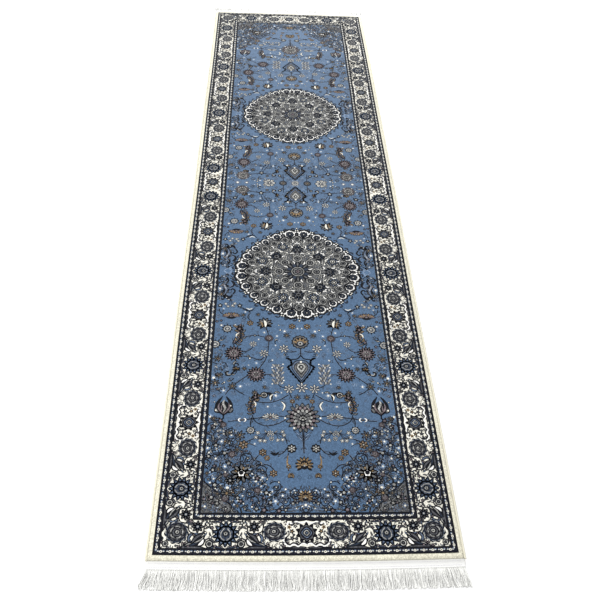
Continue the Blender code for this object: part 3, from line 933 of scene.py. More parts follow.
def spandrel():  # the scrollwork that fills a corner of the field
    d = Draft()
    heart = (0.171, -1.266)
    corner = [(0.174, -1.3765), (0.2705, -1.3765), (0.2705, -1.288), (0.256, -1.302), (0.24, -1.314), (0.226, -1.33),
              (0.21, -1.342), (0.196, -1.356), (0.184, -1.366)]
    fillGaps(d, ((0.184, -1.372), (0.267, -1.296)), [], "commaLeaf twinLeaf brownFlower hookLeaf",
             (0.0048, 0.0078), 17, tries=900, gap=-0.001, lift=3,
             inside=lambda x, y: (0.271 - x) + (y + 1.377) < 0.08)
    d.shapes.append(("taupe", 0, [Vector(c) for c in corner],
                     [(1, i, i + 1) for i in range(2, len(corner) - 1)] + [(1, len(corner) - 1, 0)]))
    d.strip("navy", 1, corner[2:] + corner[:1], 0.004)
    for x, y, r, turns, turn in ((0.198, -1.206, 0.046, 0.85, 250), (0.24, -1.146, 0.026, 1.3, 60),
                                 (0.212, -1.262, 0.019, 1.0, 200), (0.166, -1.308, 0.021, 1.0, 90),
                                 (0.122, -1.284, 0.04, 0.75, 10), (0.06, -1.34, 0.024, 1.2, 330),
                                 (0.136, -1.236, 0.014, 0.9, 300), (0.25, -1.226, 0.03, 0.6, 290),
                                 (0.118, -1.35, 0.026, 0.8, 30), (0.2, -1.21, 0.024, 0.8, 300)):
        d.place(scroll(turns, 0.0036 / r), x, y, r, turn, lift=3)
        for bud in range(int(6 * turns)):
            a = math.radians(turn + 60 * bud + 20)
            reach = r * (1 - 0.13 * bud)
            spot = (x + reach * math.cos(a), y + reach * math.sin(a))
            d.leaf(3, [spot, (spot[0] - 0.006 * math.sin(a + 0.5), spot[1] + 0.006 * math.cos(a + 0.5)),
                       (spot[0] - 0.011 * math.sin(a + 1.0), spot[1] + 0.011 * math.cos(a + 1.0))], 0.0052, "steel")
        d.place(scroll(turns * 0.8, 0.0022 / r, "steel"), x, y, r * 0.62, turn + 40, lift=2)
    for path, width in (
        ([(0.272, -1.078), (0.258, -1.1), (0.246, -1.112), (0.262, -1.132)], 0.007),
        ([(0.24, -1.112), (0.228, -1.128), (0.214, -1.146), (0.216, -1.168)], 0.0046),
        ([(0.132, -1.186), (0.15, -1.176), (0.176, -1.178), (0.206, -1.192)], 0.004),
        ([(0.01, -1.366), (0.04, -1.373), (0.08, -1.368), (0.11, -1.374)], 0.0036),
        ([(0.0, -1.352), (0.022, -1.362), (0.044, -1.366)], 0.0036),
        ([(0.186, -1.286), (0.204, -1.304), (0.216, -1.318)], 0.015),
        ([(0.166, -1.288), (0.17, -1.316), (0.188, -1.334)], 0.008),
        ([(0.196, -1.268), (0.222, -1.272), (0.24, -1.29)], 0.008),
    ):
        d.leaf(2, path, width)
    # the dark flower with a pale heart that anchors the scrolls
    d.petals("navy", 4, 9, 0.004, 0.03, 0.015, at=heart)
    d.petals("navy", 4, 9, 0.004, 0.022, 0.012, turn=20, at=heart)
    d.petals("taupe", 5, 9, 0.012, 0.026, 0.0062, at=heart)
    d.petals("gold", 5, 4, 0.012, 0.02, 0.0056, turn=20, at=heart)
    d.disc("white", 6, 0.01, 5, 0.3, at=heart)
    d.disc("navy", 7, 0.0066, at=(heart[0], heart[1] + 0.002))
    d.place(motifs["starFlower"], 0.207, -1.3235, 0.019, 10, lift=4)
    taken = [(x, y, size * 0.9) for name, x, y, size, turn in nearEnd] + [(*heart, 0.028)]

    def crowded(x, y):  # the corner is full; towards the middle the ground opens
        return y < -1.306 or x > 0.108 + max(0.0, y + 1.25) * 0.85

    zone = ((0.004, -1.373), (0.268, -1.09))
    # grey-blue flecks under everything else
    fillGaps(d, zone, [(*heart, 0.02)], "steelSprig skyFlower commaLeaf", (0.0062, 0.0098), 31, 1500, -0.003,
             lambda x, y: crowded(x, y) and x - y < 1.555, 0.2)
    # thin spirals under everything else, crossing one another
    rng = random.Random(29)
    for step in range(170):
        x, y = rng.uniform(0.01, 0.258), rng.uniform(-1.362, -1.1)
        r = rng.uniform(0.01, 0.022)
        turns, turn = rng.uniform(0.6, 1.1), rng.uniform(0, 360)
        if crowded(x, y) and x + r < 0.268 and y - r > -1.374:
            d.place(scroll(turns, 0.0027 / r, rng.choice(("navy", "navy", "slate"))), x, y, r, turn,
                    lift=1 + 0.005 * step)
    for kinds, sizes, seed, tries, lift in (
            ("leafyScroll", (0.016, 0.025), 3, 600, 2),
            ("hookLeaf starFlower brownFlower fieldRose steelSprig skyFlower", (0.0105, 0.015), 11,
             1500, 3),
            ("commaLeaf twinLeaf hookLeaf darkFlower brownFlower steelSprig", (0.0062, 0.0098), 12,
             3000, 3),
            ("paleSprig skyFlower", (0.0022, 0.004), 13, 200, 2)):
        taken = fillGaps(d, zone, taken, kinds, sizes, seed, tries, -0.0036, crowded, lift)
    return d


def growBuds(draft, path, reach=0.0085):  # pairs of small leaves along a vine
    line = smoothPath(path, 5)
    for i in range(3, len(line) - 2, 4):
        along = (line[i + 1] - line[i - 1]).normalized()
        out = Vector((-along.y, along.x)) * (1 if i % 8 == 3 else -1)
        draft.leaf(1, [line[i], line[i] + out * reach * 0.5 + along * reach * 0.4,
                       line[i] + out * reach + along * reach], 0.0036, "steel", fine=3)


def fieldDraft():
    d = Draft()
    fieldRows = {"besideMedallion": besideMedallion, "nearEnd": nearEnd, "nearMiddle": nearMiddle}
    axis = [(motif, y / 1000, size / 1000, both) for motif, y, size, both in onAxis]
    for name, rows in fieldRows.items():
        layer = layOut(rows)
        paths = [[(x / 1000, y / 1000) for x, y in path] for path in vines[name]]
        for path in paths:
            layer.strip("navy", 1, path, 0.0029)
            layer.strip("steel", 0, [(x + 0.0012, y + 0.0016) for x, y in path], 0.0028)
            growBuds(layer, path)
        taken = [(x, y, size) for motif, x, y, size, turn in fieldRows[name]]
        taken += [(p.x, p.y, 0.003) for path in paths for p in smoothPath(path, 5)]
        taken += [(0, y, size * 1.1) for motif, y, size, both in axis]
        taken.append((0, -medallionY, 0.236))
        low, high = {"besideMedallion": (-0.9, -0.51), "nearEnd": (-1.18, -0.9), "nearMiddle": (-0.12, -0.012)}[name]
        for left, right, kinds, sizes, seed, tries, gap in (
                (0.006, 0.266, "paleSprig steelSprig steelSprig skyFlower", (0.005, 0.0125), 21, 700, 0.0012),
                (0.226, 0.266, "commaLeaf twinLeaf hookLeaf brownFlower steelSprig", (0.0055, 0.0105), 22, 260,
                 0.001),
                (0.01, 0.262, "leafyScroll hookLeaf steelSprig starFlower", (0.01, 0.02), 23, 260, 0.002)):
            fillGaps(layer, ((left, low), (right, high)), taken, kinds, sizes, seed, tries, gap, lift=1)
        if name == "besideMedallion":
            # leaf scrolls, a pale bow and a crescent beside the medallion
            for size, x, y, turn in ((0.05, 0.234, -0.574, 0), (0.024, 0.262, -0.61, -30), (0.02, 0.25, -0.528, 60)):
                layer.place(motifs["sideScroll"], x, y, size, turn, lift=1)
            layer.petal("sky", 1, [(0.228, -0.496), (0.238, -0.512), (0.252, -0.528)], 0.01)
            layer.petal("sky", 1, [(0.256, -0.496), (0.244, -0.508), (0.236, -0.524)], 0.006)
            layer.petal("navy", 1, [(0.144, -0.664), (0.156, -0.68), (0.176, -0.678), (0.186, -0.664)], 0.005)
            layer.petal("ivory", 2, [(0.152, -0.668), (0.162, -0.674), (0.174, -0.668)], 0.0034)
            layer.place(scroll(0.9, 0.3), 0.178, -0.716, 0.0075, lift=1)
        if name == "nearEnd":
            layer.place(spandrel(), 0, 0)
            layer.petal("ivory", 3, [(0.062, -1.036), (0.052, -1.05), (0.058, -1.068)], 0.0044)
            layer.petal("slate", 2, [(0.064, -1.032), (0.051, -1.05), (0.06, -1.072)], 0.0084)
            layer.petal("ivory", 4, [(0.086, -1.01), (0.094, -1.02), (0.092, -1.032)], 0.0042)
            layer.petal("navy", 3, [(0.108, -1.004), (0.092, -1.012), (0.092, -1.036)], 0.011)
            layer.petal("navy", 3, [(0.068, -1.2), (0.08, -1.21), (0.094, -1.204)], 0.007)
            layer.petal("gold", 4, [(0.044, -1.212), (0.047, -1.232), (0.043, -1.256)], 0.0046)
            for step in range(9):
                y = -0.885 - 0.021 * step
                layer.petal("steel", 1, [(0.27, y), (0.263, y - 0.006), (0.26, y - 0.014)], 0.0034)
                if step % 3 == 1:
                    layer.place(motifs["whiteDot"], 0.256, y - 0.006, 0.003, lift=3)
        layer = layer.mirrored(acrossX=True)
        if name == "besideMedallion":
            for motif, y, size, both in axis:
                if both:
                    layer.place(motifs[motif], 0, y, size, lift=4)
            layer = layer.mirrored(acrossY=-medallionY)
        elif name == "nearMiddle":
            d.place(layer, 0, 0)
            d.place(motifs["creamBlossom"], 0, 0, 0.015, 0, lift=5)
            d.petals("steel", 3, 6, 0.004, 0.028, 0.012)
            continue
        else:
            for motif, y, size, both in axis:
                if not both:
                    layer.place(motifs[motif], 0, y, size, lift=4)
        d.place(layer, 0, 0)
    return d


halfField = fieldDraft()
print("field drawn:", len(halfField.shapes), "shapes in the front half")


# The medallion's motifs, in metres, each about its own centre; medallionRings below sets them out.
@motif
def medallionHeart(d):
    d.petals("navy", 6, 8, 0.016, 0.05, 0.022)
    d.petals("taupe", 7, 8, 0.028, 0.046, 0.006)
    d.petals("slate", 7, 8, 0.02, 0.04, 0.012, turn=22.5)
    d.discs(8, ("navy", 0.0265, 8, 0.1), ("stone", 0.0225), ("navy", 0.0202), ("taupe", 0.0165, 8, 0.12),
                         ("navy", 0.012, 6, 0.3))
    d.disc("mauve", 13, 0.007, 6, 0.3, turn=30)
    d.disc("navy", 14, 0.0026)


@motif
def cartouche(d):
    d.disc("navy", 4, 0.0236, 9, 0.12, tall=0.98, at=(0, 0.001))
    d.disc("white", 5, 0.0172, 9, 0.14, tall=0.96)
    d.disc("navy", 6, 0.014, 7, 0.14, at=(0, -0.0022))
    d.discs(7, ("slate", 0.0098, 7, 0.24), ("navy", 0.0066), at=(0, -0.0024))
    d.disc("stone", 9, 0.0024, steps=8, at=(0, -0.002))
    d.strip("navy", 6, [(0, -0.01), (0, -0.023)], 0.0082, smooth=False)
    for side in (-1, 1):
        d.strip("navy", 6, sided(side, (0.006, 0.008), (0.0125, 0.015)), 0.0022, smooth=False)


@motif
def cusp(d):  # the little sprig outside the join of two cartouches
    for side in (-1, 1):
        d.petal("navy", 2, sided(side, (0, -0.012), (0.008, 0.0), (0.01, 0.012)), 0.008)
        d.disc("white", 9, 0.0034, steps=8, at=(side * 0.005, -0.006))
        d.disc("ivory", 9, 0.0024, steps=8, at=(side * 0.0036, 0.0036))
        d.petal("steel", 3, sided(side, (0.01, 0.004), (0.014, 0.012)), 0.004)
    d.petal("navy", 2, [(0, -0.012), (0, 0.014)], 0.006)


@motif
def edgeLeaf(d):
    d.leaf(0, [(-0.008, -0.003), (0, 0.004), (0.008, 0.002)], 0.007, "slate")


@motif
def tearFlower(d):  # grey-brown flowers just inside the cartouches
    d.discs(1, ("navy", 0.0152), ("stone", 0.013, 5, 0.1), ("navy", 0.0106, 5, 0.1), tall=1.15)
    d.petals("taupe", 4, 5, 0.003, 0.01, 0.005)
    d.disc("navy", 4, 0.0042, at=(0, 0.001))
    d.petal("navy", 4, [(0, -0.004), (0.002, -0.012)], 0.003)


@motif
def innerRose(d):
    d.petals("navy", 4, 9, 0.008, 0.0212, 0.0096)
    d.petals("steel", 5, 9, 0.011, 0.018, 0.0036)
    d.discs(6, ("navy", 0.0126), ("stone", 0.0094, 7, 0.12), ("navy", 0.0064))
    d.disc("ivory", 9, 0.0026, steps=8)


@motif
def darkPalmette(d):
    d.petals("navy", 3, 9, 0.002, 0.024, 0.011, fan=300)
    d.petals("slate", 4, 7, 0.008, 0.019, 0.004, fan=250)
    d.discs(5, ("taupe", 0.0086, 6, 0.2), ("navy", 0.005), at=(0, -0.002))


@motif
def ringedFlower(d):  # round flowers in a pale ring, next to the heart
    d.discs(3, ("navy", 0.0182), ("stone", 0.016), ("navy", 0.013, 7, 0.1), ("taupe", 0.009, 6, 0.2),
                       ("navy", 0.0046))


@motif
def starPoint(d):  # one of the pointed arches of the inner star
    for side in (-1, 1):
        outline = sided(side, (0.058, -0.026), (0.04, -0.018), (0.026, -0.006), (0.014, 0.01), (0, 0.03))
        d.strip("navy", 1, outline, 0.0072)
        d.strip("stone", 2, outline, 0.003)
        d.leaf(3, sided(side, (0.006, 0.006), (0.012, -0.006), (0.022, -0.014)), 0.006)
        d.disc("ivory", 6, 0.0026, steps=8, at=(side * 0.03, 0.008))
    d.petals("white", 6, 3, 0.001, 0.01, 0.0036, fan=150, at=(0, 0.022))


@motif
def archLeaf(d):  # leaves that link the inner flowers
    for side in (-1, 1):
        d.strip("navy", 1, sided(side, (0, -0.026), (0.019, -0.016), (0.024, 0.004), (0.012, 0.022)), 0.0056)
        d.strip("stone", 2, sided(side, (0, -0.026), (0.019, -0.016), (0.024, 0.004), (0.012, 0.022)), 0.0022)


@motif
def fineSprig(d):
    d.strip("navy", 1, [(0, -0.012), (0.002, 0.0), (-0.002, 0.012)], 0.003)
    d.petal("white", 8, [(0.003, -0.008), (0.007, 0.0), (0.003, 0.008)], 0.0036)
    d.petal("navy", 1, [(-0.002, -0.006), (-0.009, 0.0), (-0.006, 0.008)], 0.005)


medallionRings = [  # motif, how many, radius, first angle from the long axis, how far it turns from outward
    ("cartouche", 24, 0.192, 7.5, 0), ("cusp", 24, 0.206, 0, 0), ("tearFlower", 24, 0.164, 0, 0),
    ("fineSprig", 24, 0.154, 7.5, 0), ("innerRose", 8, 0.134, 22.5, 0), ("darkPalmette", 8, 0.109, 0, 0),
    ("archLeaf", 8, 0.13, 0, 0), ("archLeaf", 8, 0.093, 22.5, 180), ("starPoint", 4, 0.118, 0, 0),
    ("starPoint", 4, 0.106, 45, 0), ("edgeLeaf", 48, 0.217, 3.75, 0), ("ringedFlower", 8, 0.064, 0, 0),
    ("fineSprig", 16, 0.124, 11.25, 0), ("fineSprig", 16, 0.086, 11.25, 90), ("fineSprig", 8, 0.046, 22.5, 0),
]

# one eighth of the ground between the rings, filled and then turned round the centre
motifs["medallionFill"] = Draft()
fillGaps(motifs["medallionFill"], ((-0.085, 0.03), (0.085, 0.178)),
         [(radius * math.sin(math.radians(first + 360 / count * i)), radius * math.cos(math.radians(
             first + 360 / count * i)), size) for radius, count, first, size in (
             (0.1915, 24, 7.5, 0.021), (0.164, 24, 0, 0.013), (0.134, 8, 22.5, 0.018), (0.109, 8, 0, 0.018),
             (0.064, 8, 0, 0.015)) for i in range(count)],
         "paleLeaf twinLeaf silverFlower hookLeaf whiteDot paleLeaf", (0.0032, 0.0072), 31,
         tries=1400, gap=-0.0006, inside=lambda x, y: abs(x) < 0.4 * y and x * x + y * y < 0.03)
medallionRings.append(("medallionFill", 8, 0.0, 0, 0))

# Levels become height: each is a hair above the one below, so the shapes read as one flat pile.
levelStep = 0.00003


def draftParts(draft):
    # a draft as small loose meshes, one for each yarn
    parts = {}
    for yarn, level, points, faces in draft.shapes:
        verts, polys = parts.setdefault(yarn, ([], []))
        base = len(verts)
        verts.extend((p.x, p.y, level * levelStep) for p in points)
        polys.extend(tuple(base + i for i in face) for face in faces)
    return {yarn: stand("motif", meshOf("motif", verts, polys)) for yarn, (verts, polys) in parts.items()}


def newTree(name, sockets):  # sockets: "Label:Kind" for each input, a float where no kind is given
    tree = bpy.data.node_groups.new(name, "GeometryNodeTree")
    for label, way, kind in [("Geometry", "INPUT", "Geometry")] + [
            (entry.partition(":")[0], "INPUT", entry.partition(":")[2] or "Float") for entry in sockets.split()] + [
            ("Geometry", "OUTPUT", "Geometry")]:
        tree.interface.new_socket(name=label, in_out=way, socket_type="NodeSocket" + kind)
    return tree, {socket.name: Wire(socket) for socket in tree.nodes.new("NodeGroupInput").outputs}


def xyz(tree, x=0.0, y=0.0, z=0.0):
    return wired(tree, "ShaderNodeCombineXYZ", {0: x, 1: y, 2: z})


def finishTree(tree, geometry, yarn):  # real geometry, not instances, in its own yarn
    real = addNode(tree, "GeometryNodeRealizeInstances", {"Geometry": geometry})
    dyed = addNode(tree, "GeometryNodeSetMaterial", {"Geometry": real, "Material": yarn})
    tree.links.new(dyed.outputs[0], tree.nodes.new("NodeGroupOutput").inputs[0])
    return tree


def repeatAlongTree():
    # copies of a motif along a straight band; with Mirror, every second one is turned end for end
    tree, given = newTree("repeat_along_band", "Motif:Object Count:Int Pitch Stretch Mirror Phase Start:Vector "
                                               "Heading Side Yarn:Material")
    pitch = given["Pitch"]
    line = addNode(tree, "GeometryNodeMeshLine", {"Count": given["Count"], "Offset": xyz(tree, pitch)})
    odd = (wired(tree, "GeometryNodeInputIndex") + given["Phase"]).maths("MODULO", 2.0) * given["Mirror"]
    shifted = addNode(tree, "GeometryNodeSetPosition", {"Geometry": line, "Offset": xyz(tree, odd * pitch)})
    motif = wired(tree, "GeometryNodeObjectInfo", {"Object": given["Motif"]}, "Geometry")
    copies = addNode(tree, "GeometryNodeInstanceOnPoints", {
        "Points": shifted, "Instance": motif,
        "Scale": xyz(tree, (1.0 - odd * 2.0) * given["Stretch"], given["Side"], 1.0)})
    placed = addNode(tree, "GeometryNodeTransform", {
        "Geometry": copies, "Translation": given["Start"], "Rotation": xyz(tree, z=given["Heading"])})
    return finishTree(tree, placed, given["Yarn"])


def ringTree():
    # copies of a motif round a ring, each facing outwards
    tree, given = newTree("ring_of_motifs", "Motif:Object Count:Int Radius Lobe Swell First Turn Centre:Vector "
                                            "Yarn:Material")
    line = addNode(tree, "GeometryNodeMeshLine", {"Count": given["Count"]})
    angle = wired(tree, "GeometryNodeInputIndex") * (2 * math.pi) / given["Count"] + given["First"]
    wave = (angle * 4.0).maths("COSINE")
    reach = given["Radius"] * (wave * given["Lobe"] + 1.0)
    spot = xyz(tree, angle.maths("SINE") * reach, angle.maths("COSINE") * reach)
    points = addNode(tree, "GeometryNodeSetPosition", {"Geometry": line, "Position": spot})
    motif = wired(tree, "GeometryNodeObjectInfo", {"Object": given["Motif"]}, "Geometry")
    copies = addNode(tree, "GeometryNodeInstanceOnPoints", {
        "Points": points, "Instance": motif, "Rotation": xyz(tree, z=given["Turn"] - angle),
        "Scale": wave * given["Swell"] + 1.0})
    placed = addNode(tree, "GeometryNodeTransform", {"Geometry": copies, "Translation": given["Centre"]})
    return finishTree(tree, placed, given["Yarn"])


def grow(tree, values):
    # the mesh that a node tree makes from these input values
    holder = stand("holder", bpy.data.meshes.new("holder"))
    modifier = holder.modifiers.new("grow", "NODES")
    modifier.node_group = tree
    for item in tree.interface.items_tree:
        if item.in_out == "INPUT" and item.name in values:
            value = values[item.name]
            if item.socket_type == "NodeSocketFloat":
                value = float(value)
            elif item.socket_type == "NodeSocketVector":
                value = [float(c) for c in value]
            modifier[item.identifier] = value
    bpy.context.view_layer.update()
    seen = holder.evaluated_get(bpy.context.evaluated_depsgraph_get())
    mesh = bpy.data.meshes.new_from_object(seen)
    bpy.data.objects.remove(holder)
    return mesh


class Weaving:
    # gathers all the shapes of one zone by yarn, then makes one piece of each

    def __init__(self, zone, level, dyed=yarns):
        self.zone, self.level, self.dyed, self.parts = zone, level, dyed, {}

    def add(self, yarn, mesh, lift=0):
        verts, polys = self.parts.setdefault(yarn, ([], []))
        base = len(verts)
        verts.extend((v.co.x, v.co.y, v.co.z + lift * levelStep) for v in mesh.vertices)
        polys.extend(tuple(base + i for i in p.vertices) for p in mesh.polygons)

    def addDraft(self, draft, lift=0, turned=False):
        for yarn, obj in draftParts(draft).items():
            if turned:
                for v in obj.data.vertices:
                    v.co.y = -v.co.y
            self.add(yarn, obj.data, lift)
            bpy.data.objects.remove(obj)

    def addGrown(self, tree, draft, values, lift=0):
        for yarn, obj in draftParts(draft).items():
            self.add(yarn, grow(tree, {**values, "Motif": obj, "Yarn": yarns[yarn]}), lift)
            bpy.data.objects.remove(obj)

    def finish(self):
        made = []
        for yarn, (verts, polys) in sorted(self.parts.items()):
            up = []
            for face in polys:  # every shape faces up out of the pile
                area = 0.0
                for i, j in zip(face, face[1:] + face[:1]):
                    area += verts[i][0] * verts[j][1] - verts[j][0] * verts[i][1]
                if abs(area) > 1e-11:
                    up.append(face if area > 0 else tuple(reversed(face)))
            mesh = bpy.data.meshes.new(f"{self.zone}_{yarn}")
            mesh.from_pydata([(x, y, pileTop + self.level * levelStep + z) for x, y, z in verts], [], up)
            made.append(addPiece(f"{self.zone}_{yarn}", mesh, self.dyed[yarn]))
        return made


# How the rug lies: nearly flat, its ends a little bowed and its long edges not quite straight.
layingSettings = {
    "frontBow": 0.0045,
    "backBow": 0.002,
    "bowFrom": 1.1,       # metres from the rug's middle to where the bow starts
    "bowOver": 0.4,
    "edgeWander": 0.0016,
}


def lieDown(mesh, s=layingSettings):
    for v in mesh.vertices:
        x, y, z = v.co
        bow = 1 - min(1.0, (x / pileEdge) ** 2)
        nearFront, nearBack = (max(0.0, (reach - s["bowFrom"]) / s["bowOver"]) for reach in (-y, y))
        v.co.y = y - s["frontBow"] * bow * min(nearFront, 1.2) + s["backBow"] * bow * min(nearBack, 1.2)
        v.co.x = x + s["edgeWander"] * (math.sin(y * 2.3 + 0.8) + 0.5 * math.sin(y * 6.1 + 2.0)) * (0.4 + abs(x))


def addPiece(name, mesh, material, lies=True):
    if lies:
        lieDown(mesh)
    mesh.materials.clear()
    mesh.materials.append(material)
    obj = bpy.data.objects.new(name, mesh)
    bpy.context.scene.collection.objects.link(obj)
    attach(obj, "root")
    return obj


def gridSheet(low, high, nx, ny):
    # a flat sheet of quads between two corners
    verts = [(low[0] + (high[0] - low[0]) * i / nx, low[1] + (high[1] - low[1]) * j / ny, 0)
             for j in range(ny + 1) for i in range(nx + 1)]
    faces = [(j * (nx + 1) + i, j * (nx + 1) + i + 1, (j + 1) * (nx + 1) + i + 1, (j + 1) * (nx + 1) + i)
             for j in range(ny) for i in range(nx)]
    return meshOf("sheet", verts, faces)


def frameSheet(weaving, yarn, outer, inner, lift):
    # a flat frame between two rectangles given by half width and half length
    (x, y), (u, v) = outer, inner
    for low, high, nx, ny in (((-x, -y), (x, -v), 40, 4), ((-x, v), (x, y), 40, 4),
                              ((-x, -v), (-u, v), 2, 150), ((u, -v), (x, v), 2, 150)):
        weaving.add(yarn, gridSheet(low, high, nx, ny), lift)


repeatAlong, ring = repeatAlongTree(), ringTree()
plainRow = {"Count": 1, "Pitch": 1, "Stretch": 1, "Mirror": 0, "Phase": 0, "Heading": 0, "Side": 1}

# The bands: two guards with the main border between them.
guards, border = Weaving("guards", 22), Weaving("border", 1, borderYarns)
guardSettings = {"lineOuter": 0.0044, "lineInner": 0.0044, "cellLength": 0.0225}


def layGuard(outer, inner, s=guardSettings):
    frameSheet(guards, "navy", outer, inner, 0)
    middleOuter = (outer[0] - s["lineOuter"], outer[1] - s["lineOuter"])
    middleInner = (inner[0] + s["lineInner"], inner[1] + s["lineInner"])
    frameSheet(guards, "navySlate", middleOuter, middleInner, 1)
    centre = ((middleOuter[0] + middleInner[0]) / 2, (middleOuter[1] + middleInner[1]) / 2)
    for length, across, heading in ((centre[1], centre[0], 90), (centre[0], centre[1], 0)):
        count = round(2 * length / s["cellLength"])
        pitch = 2 * length / count
        for sign in (-1, 1):
            first = pitch / 2 - length
            guards.addGrown(repeatAlong, motifs["guardCell"], {
                **plainRow, "Count": count, "Pitch": pitch, "Heading": math.radians(heading),
                "Start": (sign * across, first, 0) if heading else (first, sign * across, 0)}, 2)


layGuard(outerHalf, borderHalf)
layGuard(innerHalf, fieldHalf)
print("guard bands laid")


def layBorder(s=borderSettings):
    frameSheet(border, "ivory", borderHalf, innerHalf, 0)
    middle = ((borderHalf[0] + innerHalf[0]) / 2, (borderHalf[1] + innerHalf[1]) / 2)
    cell, span = Draft().place(borderFill(), 0, 0).place(borderScroll(), 0, 0), s["cellLength"]
    cell.place(motifs["borderRose"], s["roseAt"], 0.006, s["roseSize"], lift=5, tall=s["roseFlatten"])
    toCorner = Draft().place(borderFill(), 0, 0)
    palmette = Draft().place(motifs["bluePalmette"], 0, 0, s["palmetteSize"], lift=5)
    scrollFlower = Draft().place(motifs["scrollPalmette"], 0, 0.003, s["scrollSize"], lift=5)
    corner = Draft().place(motifs["borderRose"], 0, 0.004, s["roseSize"] * 0.98, lift=5)
    fillGaps(corner, ((-0.036, -0.036), (0.036, 0.036)), [(0, 0.004, s["roseSize"])],
             "commaLeaf bead brownFlower twinLeaf", (0.0046, 0.0074), 3, tries=700, gap=-0.0012, lift=2)
    corner.place(motifs["eyeFlower"], -0.0255, -0.0255, 0.009, lift=5)
    corner.strip("white", 1, [(-0.034, -0.02), (-0.026, -0.031), (-0.012, -0.0345)], 0.0034)
    corner.petal("navy", 1, [(-0.0365, -0.004), (-0.0345, -0.02), (-0.029, -0.034)], 0.006)

    def band(draft, count, pitch, start, heading, side, stretch=1.0, mirror=0):
        border.addGrown(repeatAlong, draft, {
            "Count": count, "Pitch": pitch, "Stretch": stretch, "Mirror": mirror, "Phase": mirror, "Start": start,
            "Heading": math.radians(heading), "Side": side}, 1)

    endStretch = middle[0] / (2 * span - s["roseAt"])
    endSpan = span * endStretch
    sideEnd = middle[1] - (span - s["roseAt"])  # the blue palmette nearest the corner
    for end in (-1, 1):
        y = end * middle[1]
        heading, side = 0, -end
        band(cell, 1, endSpan, (0, y, 0), heading, side, endStretch)
        band(cell, 1, endSpan, (0, y, 0), heading, side, -endStretch)
        band(scrollFlower, 1, endSpan, (0, y, 0), heading, side)
        for across in (-1, 1):
            band(palmette, 1, endSpan, (across * endSpan, y, 0), heading, side)
            band(toCorner, 1, endSpan, (across * 2 * endSpan, y, 0), heading, side, -across * endStretch)
            x = across * middle[0]
            band(corner, 1, endSpan, (x, y, 0), heading, side, -across)
            # from the corner along the side to the rug's middle
            ahead = 90 if end < 0 else -90
            inward = across * (1 if end < 0 else -1)
            band(toCorner, 1, span, (x, end * (sideEnd + span), 0), ahead, inward)
            band(cell, 6, span, (x, end * sideEnd, 0), ahead, inward, mirror=1)
            band(palmette, 4, 2 * span, (x, end * sideEnd, 0), ahead, inward)
            band(scrollFlower, 3, 2 * span, (x, end * (sideEnd - span), 0), ahead, inward)
    for across in (-1, 1):
        x = across * middle[0]
        band(scrollFlower, 1, span, (x, 0, 0), 90, across)
        for ahead in (90, -90):
            inward = across * (1 if ahead == 90 else -1)
            band(borderScroll(), 1, span, (x, 0, 0), ahead, inward)


layBorder()
print("main border laid")

# The field and the two medallions.
field = Weaving("field", 1)
field.add("blue", gridSheet((-fieldHalf[0], -fieldHalf[1]), fieldHalf, 20, 110))
field.addDraft(halfField, 1)
field.addDraft(halfField, 1.1, turned=True)
medallions = Weaving("medallion", 14)
ground = Draft().disc("taupe", 0, (medallionBox[1].x - medallionBox[0].x) / 2 - 0.012, steps=96)
for sign in (-1, 1):
    centre = (0, sign * medallionY, 0)
    for draft, level in ((ground, 0), (motifs["medallionHeart"], 1)):
        medallions.addGrown(repeatAlong, draft, {**plainRow, "Start": centre}, level)
    for name, count, radius, first, turn in medallionRings:
        medallions.addGrown(ring, motifs[name], {
            "Count": count, "Radius": radius, "Lobe": 0.024, "First": math.radians(first),
            "Swell": 0.2 if name == "cartouche" else 0.0,  # the pairs on the axes are the largest
            "Turn": math.radians(turn), "Centre": centre}, 1)
print("field and medallions laid")
for weaving in (guards, border, field, medallions):
    weaving.finish()

# The pile's body: a closed slab whose top edges lean and round over, with cream yarn showing at the margin.
bodySettings = {"across": 70, "along": 240, "roundOff": 0.005, "drop": 0.0026}


def closedSlab(name, nx, ny, point):  # point gives the place of column i and row j on the top or the underside
    verts = [point(i, j, top) for top in (True, False) for j in range(ny + 1) for i in range(nx + 1)]
    row, sheet = nx + 1, (nx + 1) * (ny + 1)
    faces = []
    for j in range(ny):
        for i in range(nx):
            a = j * row + i
            faces.append((a, a + 1, a + row + 1, a + row))
            faces.append((sheet + a, sheet + a + row, sheet + a + row + 1, sheet + a + 1))
    rim = [*range(nx), *(j * row + nx for j in range(ny)), *(ny * row + i for i in range(nx, 0, -1)),
           *(j * row for j in range(ny, 0, -1))]
    for a, b in zip(rim, rim[1:] + rim[:1]):
        faces.append((a, a + sheet, b + sheet, b))
    return meshOf(name, verts, faces)


def pileBody(s=bodySettings):
    def grade(i, n, half):  # columns close up towards the edges, so the rounding is smooth
        t = 2 * i / n - 1
        return half * math.copysign(1 - (1 - abs(t)) ** 1.5, t)

    def point(i, j, top):
        x, y = grade(i, s["across"], pileEdge), grade(j, s["along"], pileEnd)
        t = max(0.0, 1 - min(pileEdge - abs(x), pileEnd - abs(y)) / s["roundOff"])
        return (x, y, pileTop - s["drop"] * t * t if top else pileBase)

    return closedSlab("pile_body", s["across"], s["along"], point)


rug = addPiece("pile_body", pileBody(), yarns["cream"])
smoothShade(rug)
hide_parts(*[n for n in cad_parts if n.startswith("pile_")])
print("pile body made")


waveAtOne = 0.314  # metres between the bands of a wave texture whose scale is 1


